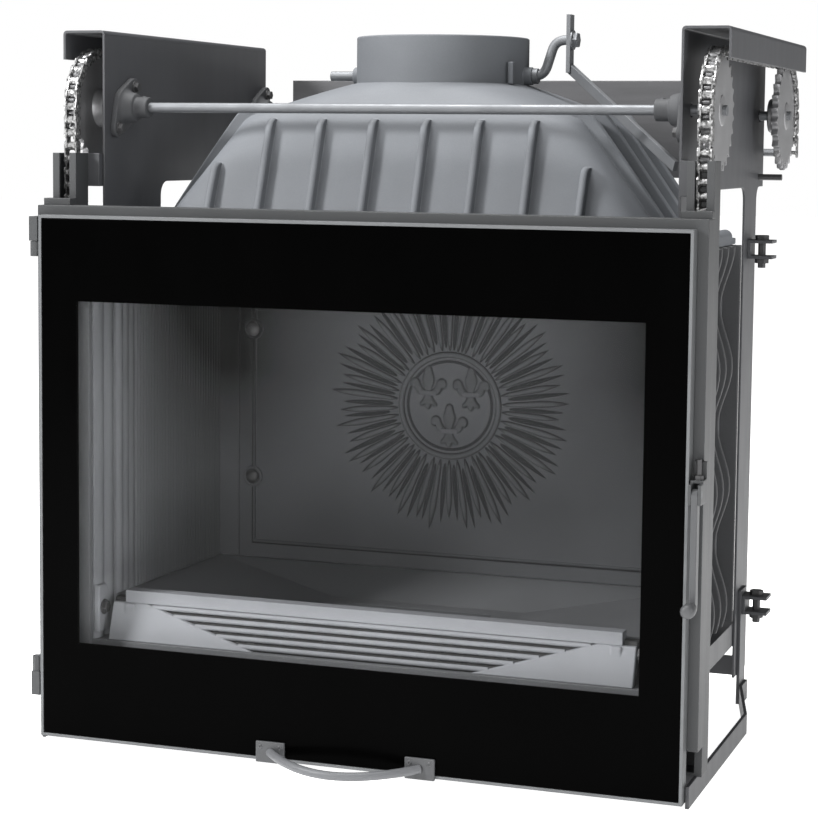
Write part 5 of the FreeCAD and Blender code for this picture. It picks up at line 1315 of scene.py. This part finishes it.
def link_models(sizes):
    """One outer and one inner link, lying along X with their width along Z."""
    half = sizes.link_inside / 2
    pin_radius = 0.0026
    pin_end = half + 2 * sizes.link_plate + 0.0006
    links = []
    for inside, radius, reach, sides in ((half + sizes.link_plate, pin_radius, pin_end, 8),
                                         (half, sizes.roller, half, 10)):
        plate = link_plate(sizes, inside)
        pieces = [plate, copy_of(plate, "link_plate", Matrix.Diagonal((1, 1, -1, 1)))]
        for x in (0, sizes.pitch):
            rows = [ring(Vector((x, 0, z)), X_AXIS, Y_AXIS, radius, sides) for z in (-reach, reach)]
            pieces.append(lofted("link_pin", rows))
        links.append(smooth(join("link", pieces)))
    return links


def link_places(sizes):
    """Centres of the rollers from the door round both sprockets, and how many of them hang at the front."""
    radius = pitch_radius(sizes)
    step = 2 * pi / sizes.teeth
    wrap = sizes.teeth // 4
    front = SHAFT.y - radius
    rise = round((SHAFT.z - CHAIN_LOW - sizes.link_height / 2) / sizes.pitch)
    places = [(front, SHAFT.z - k * sizes.pitch) for k in range(rise, 0, -1)]
    places += [(SHAFT.y - radius * cos(k * step), SHAFT.z + radius * sin(k * step)) for k in range(wrap + 1)]
    run = round((REAR_SHAFT.y - SHAFT.y) / sizes.pitch)
    places += [(SHAFT.y + (k - 0.5) * sizes.pitch, SHAFT.z + radius) for k in range(1, run)]
    places += [(REAR_SHAFT.y + radius * cos(k * step), SHAFT.z + radius * sin(k * step))
               for k in range(wrap, -1, -1)]
    return places, rise


def strung(name, links, places, x, first=0):
    """Chain through a row of roller centres, outer and inner links by turns."""
    made = []
    for number, (start, end) in enumerate(zip(places, places[1:])):
        along = Vector((0, end[0] - start[0], end[1] - start[1])).normalized()
        turn = Matrix((along, X_AXIS.cross(along), X_AXIS)).transposed().to_4x4()
        place = Matrix.Translation((x, start[0], start[1])) @ turn
        made.append(copy_of(links[(number + first) % 2], "link", place))
    return join(name, made)


def stretched_in(piece, top, travel, thickness):
    """Fold a hanging chain into a wafer that its blend draws out again to its full length."""
    for vertex in piece.data.vertices:
        share = min(1.0, max(0.0, (top - vertex.co.z) / travel))
        vertex.co.z = top - thickness * (0.5 - sin(asin(1 - 2 * share) / 3))


class HEARTH_OT_chains(bpy.types.Operator):
    """Roller chain on each side, in lengths that hang from the door, the sprockets and the weight"""

    bl_idname = "hearth.chains"
    bl_label = "Chains"

    def execute(self, context):
        sizes = context.scene.hearth_sizes
        links = link_models(sizes)
        places, rise = link_places(sizes)
        lifted = round(LIFT_TRAVEL / sizes.pitch)
        low = rise - lifted
        last_y, last_z = places[-1]
        below = [(last_y, last_z - k * sizes.pitch) for k in range(lifted + 1)]
        wafer = 0.004
        weight_links = 3
        for side, x in (("left", -CHAIN_X), ("right", CHAIN_X)):
            hung = strung(side + "_chain_door", links, places[:low + 1], x)
            dress(hung, "chain_steel", "lift_carriage")
            paid = strung(side + "_chain_front", links, places[low:rise + 1], x, low)
            dress(paid, "chain_steel", "fixed_body")
            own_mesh(paid)
            top = strung(side + "_chain_top", links, places[rise:], x, rise)
            dress(top, "chain_steel", "fixed_body", side + "_chain")
            end = strung(side + "_chain_weight", links, below[:weight_links + 1], x, len(places) - 1)
            dress(end, "chain_steel", "balance_weight")
            slack = strung(side + "_chain_slack", links, below, x, len(places) - 1)
            stretched_in(slack, last_z, LIFT_TRAVEL, wafer)
            dress(slack, "chain_steel", None)
            last_z - wafer
            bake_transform(slack)
        remove(*links)
        return {"FINISHED"}


class HEARTH_OT_sprockets(bpy.types.Operator):
    """Toothed discs with seats for the rollers, each with its hub and a grub screw"""

    bl_idname = "hearth.sprockets"
    bl_label = "Sprockets"

    def execute(self, context):
        sizes = context.scene.hearth_sizes
        model = self.disc(sizes)
        rows = (("front", SHAFT, "front_drive", "front_drive"),
                ("rear", REAR_SHAFT, "left_rear_wheel", "right_rear_wheel"))
        for name, place, left_body, right_body in rows:
            spot = Matrix.Translation((CHAIN_X, place.y, place.z))
            right = copy_of(model, "right_%s_wheel" % name, spot)
            left = side_to_side(right, "left_%s_wheel" % name)
            dress(right, "wheel_steel", right_body, "right_%s_sprocket" % name)
            dress(left, "wheel_steel", left_body, "left_%s_sprocket" % name)
        remove(model)
        return {"FINISHED"}

    def tooth_radius(self, sizes, turn):
        """Distance of the tooth outline from the axis, at an angle from the middle of a roller seat."""
        radius = pitch_radius(sizes)
        clearance = 0.0002
        seat = sizes.roller + clearance
        tip = radius + TOOTH_TIP
        aside = radius * sin(abs(turn))
        edge = seat * 0.92
        if aside < edge:
            return radius * cos(turn) - (seat ** 2 - aside ** 2) ** 0.5
        whole = radius * sin(pi / sizes.teeth)
        share = (aside - edge) / (whole - edge)
        foot = radius * cos(turn) - (seat ** 2 - edge ** 2) ** 0.5
        return foot + (tip - foot) * share ** 0.6

    def disc(self, sizes):
        per_tooth = 12
        count = sizes.teeth * per_tooth
        rows = []
        half = sizes.disc / 2
        lowered = 0.0012
        chamfer = 0.0014
        for x, drop in ((-half, lowered), (-half + chamfer, 0), (half - chamfer, 0), (half, lowered)):
            row = []
            for k in range(count):
                turn = (k % per_tooth / per_tooth - 0.5) * 2 * pi / sizes.teeth
                radius = self.tooth_radius(sizes, turn)
                radius -= drop * max(0.0, (radius - pitch_radius(sizes)) / TOOTH_TIP)
                whole = 2 * pi * (k + per_tooth / 2) / count
                row.append(Vector((x, -radius * cos(whole), radius * sin(whole))))
            rows.append(row)
        disc = smooth(lofted("disc", rows))
        inner = -half - sizes.hub_length
        hub_chamfer = 0.0015
        fillet = 0.002
        hub = turned("hub", Vector((inner, 0, 0)), X_AXIS, (
            (0, sizes.hub_radius - hub_chamfer), (hub_chamfer, sizes.hub_radius),
            (sizes.hub_length - fillet, sizes.hub_radius),
            (sizes.hub_length + fillet / 2, sizes.hub_radius + fillet)), 48)
        boss = turned("boss", Vector((half - 0.0005, 0, 0)), X_AXIS, WHEEL_BOSS_PROFILE, 48)
        grub = pan_screw("grub", Vector((inner + 0.006, 0, sizes.hub_radius - 0.001)), Z_AXIS, 0.0032)
        return join("sprocket", [disc, hub, boss, grub])


class HEARTH_OT_bearings(bpy.types.Operator):
    """Two-bolt flange bearings inside the side plates, each with a locking collar on the shaft"""

    bl_idname = "hearth.bearings"
    bl_label = "Bearings"

    def execute(self, context):
        sizes = context.scene.hearth_sizes
        model, bolts = self.bearing(sizes)
        made = {}
        heads = []
        for name, place in (("front", SHAFT), ("rear", REAR_SHAFT)):
            spot = Matrix.Translation((PLATE_X, place.y, place.z))
            right = copy_of(model, "bearing", spot)
            made[name] = [right, side_to_side(right, "bearing")]
            right = copy_of(bolts, "bearing_bolts", spot)
            heads += [right, side_to_side(right, "bearing_bolts")]
        for name, pieces in made.items():
            dress(join(name + "_flange_bearings", pieces), "bearing_iron", "fixed_body", name + "_bearings")
        dress(join("bearing_bolts", heads), "bolt_steel", "fixed_body")
        remove(model, bolts)
        return {"FINISHED"}

    def bearing(self, sizes):
        """Bearing about the X axis, its flange against the plane of the plate."""
        thick = sizes.bearing_flange
        tilt = radians(-40)
        ear_radius = 0.0112
        head = 0.0062
        reach = sizes.bearing_bolts / 2
        ears = [Vector((0, sign * reach * sin(tilt), -sign * reach * cos(tilt))) for sign in (1, -1)]
        deselect()
        bpy.ops.mesh.primitive_cylinder_add(vertices=40, radius=BEARING_PROFILE[0][1], depth=thick,
                                            rotation=(0, pi / 2, 0), location=(-thick / 2, 0, 0))
        bpy.ops.object.mode_set(mode="EDIT")
        for ear in ears:
            bpy.ops.mesh.primitive_cylinder_add(vertices=24, radius=ear_radius, depth=thick,
                                                rotation=(0, pi / 2, 0), location=ear - X_AXIS * (thick / 2))
        bpy.ops.mesh.select_all(action="SELECT")
        bpy.ops.mesh.convex_hull()
        flange = smooth(soften(settle("flange"), CAST_EDGE))
        hub = turned("hub", Vector((-thick, 0, 0)), -X_AXIS, BEARING_PROFILE, 48)
        collar = turned("collar", Vector((-thick - 0.013, 0, 0)), -X_AXIS, LOCK_COLLAR_PROFILE, 40)
        grub = pan_screw("grub", Vector((-thick - 0.023, 0, 0.0124)), Z_AXIS, 0.0028)
        body = join("bearing", [flange, hub, collar, grub])
        heads = [hex_bolt("bolt", ear - X_AXIS * thick, -X_AXIS, head, head) for ear in ears]
        return body, join("bolts", heads)


# Housings

def arc(centre, radius, start, end, steps=6):
    """Points of a plane arc between two angles in degrees."""
    turns = [radians(start + (end - start) * k / steps) for k in range(steps + 1)]
    return [(centre[0] + radius * cos(t), centre[1] + radius * sin(t)) for t in turns]


class HEARTH_OT_housings(bpy.types.Operator):
    """Side plates of folded sheet: a housing with a lip over each chain, and two legs"""

    bl_idname = "hearth.housings"
    bl_label = "Housings"

    def execute(self, context):
        low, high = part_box("right_side_plate")
        sheet = 0.003
        fold = 0.005
        lip = 0.82
        arch_top = 0.671
        fillet = 0.018
        front_leg = low.y + 0.154
        rear_leg = (0.17595, 0.25195)
        hole_radius = 0.008
        past = 0.01
        top = high.z - fold
        outline = [(low.y, top), (low.y, low.z), (front_leg, low.z)]
        outline += arc((front_leg + fillet, arch_top - fillet), fillet, 180, 90)
        outline += arc((rear_leg[0] - fillet, arch_top - fillet), fillet, 90, 0)
        outline += [(rear_leg[0], low.z), (rear_leg[1], low.z)]
        outline += arc((rear_leg[1] + fillet, arch_top - fillet), fillet, 180, 90)
        outline += [(high.y, arch_top), (high.y, top)]
        web = plate_of("housing_web", [Vector((low.x, y, z)) for y, z in outline], (sheet, 0, 0))
        for place in (SHAFT, REAR_SHAFT):
            hole = turned("hole", Vector((low.x - past, place.y, place.z)), X_AXIS,
                          ((0, hole_radius), (3 * past, hole_radius)), 24)
            modify(web, "BOOLEAN", object=hole, operation="DIFFERENCE", solver="EXACT")
            remove(hole)
        inner_bend = (low.x + fold, top)
        outer_bend = (high.x - fold, top)
        skin = [(low.x, top)] + arc(inner_bend, fold, 180, 90) + arc(outer_bend, fold, 90, 0)
        skin += [(high.x, lip), (high.x - sheet, lip)]
        skin += arc(outer_bend, fold - sheet, 0, 90) + arc(inner_bend, fold - sheet, 90, 180)
        roof = plate_of("housing_roof", [Vector((x, low.y, z)) for x, z in skin], (0, high.y - low.y, 0))
        right = join("right_housing", [smooth(soften(web, SHEET_EDGE)), smooth(roof)])
        left = side_to_side(right, "left_housing")
        for plate in (right, left):
            modify(plate, "WEIGHTED_NORMAL", keep_sharp=True)
        dress(right, "frame_paint", "fixed_body", "right_side_plate")
        dress(left, "frame_paint", "fixed_body", "left_side_plate")
        return {"FINISHED"}


# Flue collar and damper crank

SPINDLE_RADIUS = 0.006


class HEARTH_OT_flue_collar(bpy.types.Operator):
    """Flue collar with a stepped socket, two spindle bosses and the stop for the crank"""

    bl_idname = "hearth.flue_collar"
    bl_label = "Flue collar"

    def execute(self, context):
        low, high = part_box("flue_collar")
        outer = (high.y - low.y) / 2
        tall = high.z - low.z
        socket = 0.032
        socket_radius = 0.103
        throat = 0.101
        wall = turned("collar_wall", Vector((0, FLUE.y, low.z)), Z_AXIS, (
            (0, outer), (tall - CAST_EDGE, outer), (tall, outer - CAST_EDGE),
            (tall, socket_radius + CAST_EDGE), (tall - CAST_EDGE, socket_radius),
            (tall - socket, socket_radius), (tall - socket, throat), (0, throat)), 128, hollow=True)
        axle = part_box("damper_spindle")[0].z + SPINDLE_RADIUS
        sunk = 0.005
        boss_end = high.x - outer + sunk
        boss_radius = 0.011
        bore = 0.0064
        boss = turned("collar_boss", Vector((outer - sunk, FLUE.y, axle)), X_AXIS, (
            (0, boss_radius), (boss_end - PLATE_EDGE, boss_radius), (boss_end, boss_radius - PLATE_EDGE),
            (boss_end, bore), (0, bore)), hollow=True)
        stop = cuboid("crank_stop", (0.1, FLUE.y - 0.05, low.z + 0.001),
                      (0.107, FLUE.y - 0.041, low.z + 0.028))
        pieces = [wall, boss, side_to_side(boss, "collar_boss"), soften(stop, CAST_EDGE)]
        dress(join("flue_ring", pieces), "collar_iron", "fixed_body", "flue_collar")
        return {"FINISHED"}


class HEARTH_OT_damper_crank(bpy.types.Operator):
    """Damper spindle bent up into a crank, with the nut that holds the link on its pin"""

    bl_idname = "hearth.damper_crank"
    bl_label = "Damper crank"

    def execute(self, context):
        low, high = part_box("damper_spindle")
        foot = low.z + SPINDLE_RADIUS
        pin = high.z - 0.0107 + 0.0014
        bend = 0.013
        corners = ((low.x, foot), (0.132, foot), (0.146, pin), (high.x, pin))
        path = rounded_path([Vector((x, FLUE.y, z)) for x, z in corners], bend)
        bar = tube("crank_bar", path, Y_AXIS, SPINDLE_RADIUS)
        nut_radius = 0.0098
        nut_height = 0.0082
        nut = hex_bolt("crank_nut", Vector((high.x - 0.0085, FLUE.y, pin)), X_AXIS, nut_radius, nut_height)
        collar = turned("crank_collar", Vector((0.1185, FLUE.y, foot)), X_AXIS, (
            (0, 0.0095), (0.006, 0.0095), (0.0066, 0.0088), (0.0066, 0.0061)))
        dress(join("damper_crank", [bar, nut, collar]), "bar_steel", "damper", "damper_spindle")
        return {"FINISHED"}


# Handle and latch

class HEARTH_OT_handle(bpy.types.Operator):
    """Bowed door handle with its screwed plates, and the latch knob"""

    bl_idname = "hearth.handle"
    bl_label = "Handle and latch"

    def execute(self, context):
        low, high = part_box("handle_bar")
        radius = 0.005
        plate_low, plate_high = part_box("handle_plates")
        plate_width = 0.036
        screw_inset = 0.006
        screw_radius = 0.0026
        seat = plate_low.y + 0.001
        steps = 40
        path = []
        for k in range(steps + 1):
            share = 2 * k / steps - 1
            bow = 1 - share ** 2
            y = seat + (low.y + radius - seat) * bow
            z = high.z - radius - (high.z - low.z - 2 * radius) * bow
            path.append(Vector(((high.x - radius) * share, y, z)))
        along = path[1] - path[0]
        normal = along.cross(path[steps // 2] - path[0]).normalized()
        bar = tube("handle_bow", path, normal, radius)
        dress(bar, "handle_paint", "door", "handle_bar")
        plates = []
        for sign in (-1, 1):
            x0, x1 = sorted((sign * (plate_high.x - plate_width), sign * plate_high.x))
            plate = cuboid("handle_plate", (x0, plate_low.y, plate_low.z), (x1, plate_high.y, plate_high.z))
            plates.append(soften(plate, CAST_EDGE, 3))
            for x in (x0 + screw_inset, x1 - screw_inset):
                place = Vector((x, plate_low.y + 0.0004, plate_high.z - screw_inset))
                plates.append(pan_screw("plate_screw", place, -Y_AXIS, screw_radius))
        dress(join("handle_seats", plates), "lever_paint", "door", "handle_plates")
        self.knob()
        return {"FINISHED"}

    def knob(self):
        """Round knob on the end of the latch lever."""
        low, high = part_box("latch_knob")
        place = Vector(((low.x + high.x) / 2, high.y, (low.z + high.z) / 2))
        deep = high.y - low.y
        knob = turned("latch_grip", place, -Y_AXIS, (
            (0, 0.0052), (0.002, 0.0046), (0.007, 0.0044), (0.0085, 0.0062), (0.0115, 0.0076), (0.016, 0.008),
            (deep - 0.005, 0.0079), (deep - 0.002, 0.0066), (deep - 0.0004, 0.0044), (deep, 0.001)))
        dress(knob, "lever_paint", "latch", "latch_knob")


# Floor, light and camera

# Lamp: place, target, size and power
LAMPS = {
    "key_light": ((-2.3, -2.1, 2.2), (0, 0, 0.6), 0.6, 150),
    "fill_light": ((0.7, -3.1, 1.0), (0, 0, 0.3), 1.0, 26),
    "top_light": ((-0.4, -0.2, 2.8), (0, 0, 0.7), 1.0, 100),
    "side_light": ((2.7, -0.9, 1.3), (0.4, 0, 0.5), 0.8, 30),
}
CAMERA_PLACE = (0.89, -2.5788, 0.7233)
BACKDROP = 1.0
AMBIENT = 0.2


class HEARTH_OT_stage(bpy.types.Operator):
    """Pale floor, soft studio light and the camera"""

    bl_idname = "hearth.stage"
    bl_label = "Stage"

    def execute(self, context):
        self.floor()
        self.world(context.scene)
        for name, settings in LAMPS.items():
            self.lamp(name, *settings)
        self.camera(context.scene)
        return {"FINISHED"}

    def floor(self):
        deselect()
        bpy.ops.mesh.primitive_plane_add(size=40)
        floor = settle("floor")
        finish = Finish("floor_white")
        cloud = finish.noise(0.6, 3.0)
        tone = finish.mix(cloud, (0.86, 0.86, 0.86, 1), (0.9, 0.9, 0.9, 1))
        floor.data.materials.append(finish.surface({
            "Base Color": tone,
            "Roughness": 0.9,
            "Emission Color": (1, 1, 1, 1),
            "Emission Strength": 0.95,
        }))

    def world(self, scene):
        """White backdrop, which lights the piece less than it shows."""
        world = bpy.data.worlds.new("studio")
        world.use_nodes = True
        tree = world.node_tree
        path = tree.nodes.new("ShaderNodeLightPath")
        mix = tree.nodes.new("ShaderNodeMix")
        mix.inputs["A"].default_value = AMBIENT
        mix.inputs["B"].default_value = BACKDROP
        background = tree.nodes["Background"]
        background.inputs["Color"].default_value = (1, 1, 1, 1)
        tree.links.new(path.outputs["Is Camera Ray"], mix.inputs["Factor"])
        tree.links.new(mix.outputs["Result"], background.inputs["Strength"])
        scene.world = world
        scene.view_settings.view_transform = "Standard"

    def lamp(self, name, place, target, size, power):
        deselect()
        bpy.ops.object.light_add(type="AREA", location=place)
        lamp = bpy.context.object
        lamp.name = name
        lamp.data.size = size
        lamp.data.energy = power
        lamp.rotation_euler = (Vector(target) - Vector(place)).to_track_quat("-Z", "Y").to_euler()

    def camera(self, scene):
        yaw = radians(19.37)
        pitch = radians(5.13)
        roll = radians(0.6)
        focus_pixels = 2184
        middle_x = 419
        middle_y = 339
        forward = Vector((-sin(yaw) * cos(pitch), cos(yaw) * cos(pitch), -sin(pitch)))
        right = Vector((cos(yaw), sin(yaw), 0))
        up = right.cross(forward)
        level = right * cos(roll) + up * sin(roll)
        upright = up * cos(roll) - right * sin(roll)
        turn = Matrix((level, upright, -forward)).transposed().to_4x4()
        deselect()
        bpy.ops.object.camera_add()
        camera = bpy.context.object
        camera.name = "camera"
        camera.matrix_world = Matrix.Translation(CAMERA_PLACE) @ turn
        camera.data.sensor_width = SENSOR_WIDTH
        camera.data.lens = SENSOR_WIDTH * focus_pixels / PHOTO_PIXELS
        camera.data.shift_x = (PHOTO_PIXELS / 2 - middle_x) / PHOTO_PIXELS
        camera.data.shift_y = (middle_y - PHOTO_PIXELS / 2) / PHOTO_PIXELS
        scene.camera = camera


STEPS = (HEARTH_OT_finishes, HEARTH_OT_glazing, HEARTH_OT_hood, HEARTH_OT_fireback, HEARTH_OT_firebox,
         HEARTH_OT_chains, HEARTH_OT_sprockets, HEARTH_OT_bearings, HEARTH_OT_housings, HEARTH_OT_flue_collar,
         HEARTH_OT_damper_crank, HEARTH_OT_handle, HEARTH_OT_stage)


class HEARTH_PT_parts(bpy.types.Panel):
    """Lists the pieces of the insert, in the order in which they are made"""

    bl_idname = "HEARTH_PT_parts"
    bl_label = "Fireplace insert"
    bl_space_type = "VIEW_3D"
    bl_region_type = "UI"
    bl_category = "Hearth"

    def draw(self, context):
        for step in STEPS:
            self.layout.operator(step.bl_idname)
        for group in (context.scene.hearth_sizes, context.scene.hearth_colours):
            box = self.layout.box()
            for name in group.__annotations__:
                box.prop(group, name)


CLASSES = (HearthSizes, HearthColours) + STEPS + (HEARTH_PT_parts,)


def register():
    for item in CLASSES:
        bpy.utils.register_class(item)
    bpy.types.Scene.hearth_sizes = PointerProperty(type=HearthSizes)
    bpy.types.Scene.hearth_colours = PointerProperty(type=HearthColours)


def unregister():
    del bpy.types.Scene.hearth_sizes
    del bpy.types.Scene.hearth_colours
    for item in reversed(CLASSES):
        bpy.utils.unregister_class(item)


def main():
    register()
    bpy.ops.hearth.finishes()
    bpy.ops.hearth.glazing()
    bpy.ops.hearth.hood()
    bpy.ops.hearth.fireback()
    bpy.ops.hearth.firebox()
    bpy.ops.hearth.chains()
    bpy.ops.hearth.sprockets()
    bpy.ops.hearth.bearings()
    bpy.ops.hearth.housings()
    bpy.ops.hearth.flue_collar()
    bpy.ops.hearth.damper_crank()
    bpy.ops.hearth.handle()
    bpy.ops.hearth.stage()


if __name__ == "__main__":
    main()
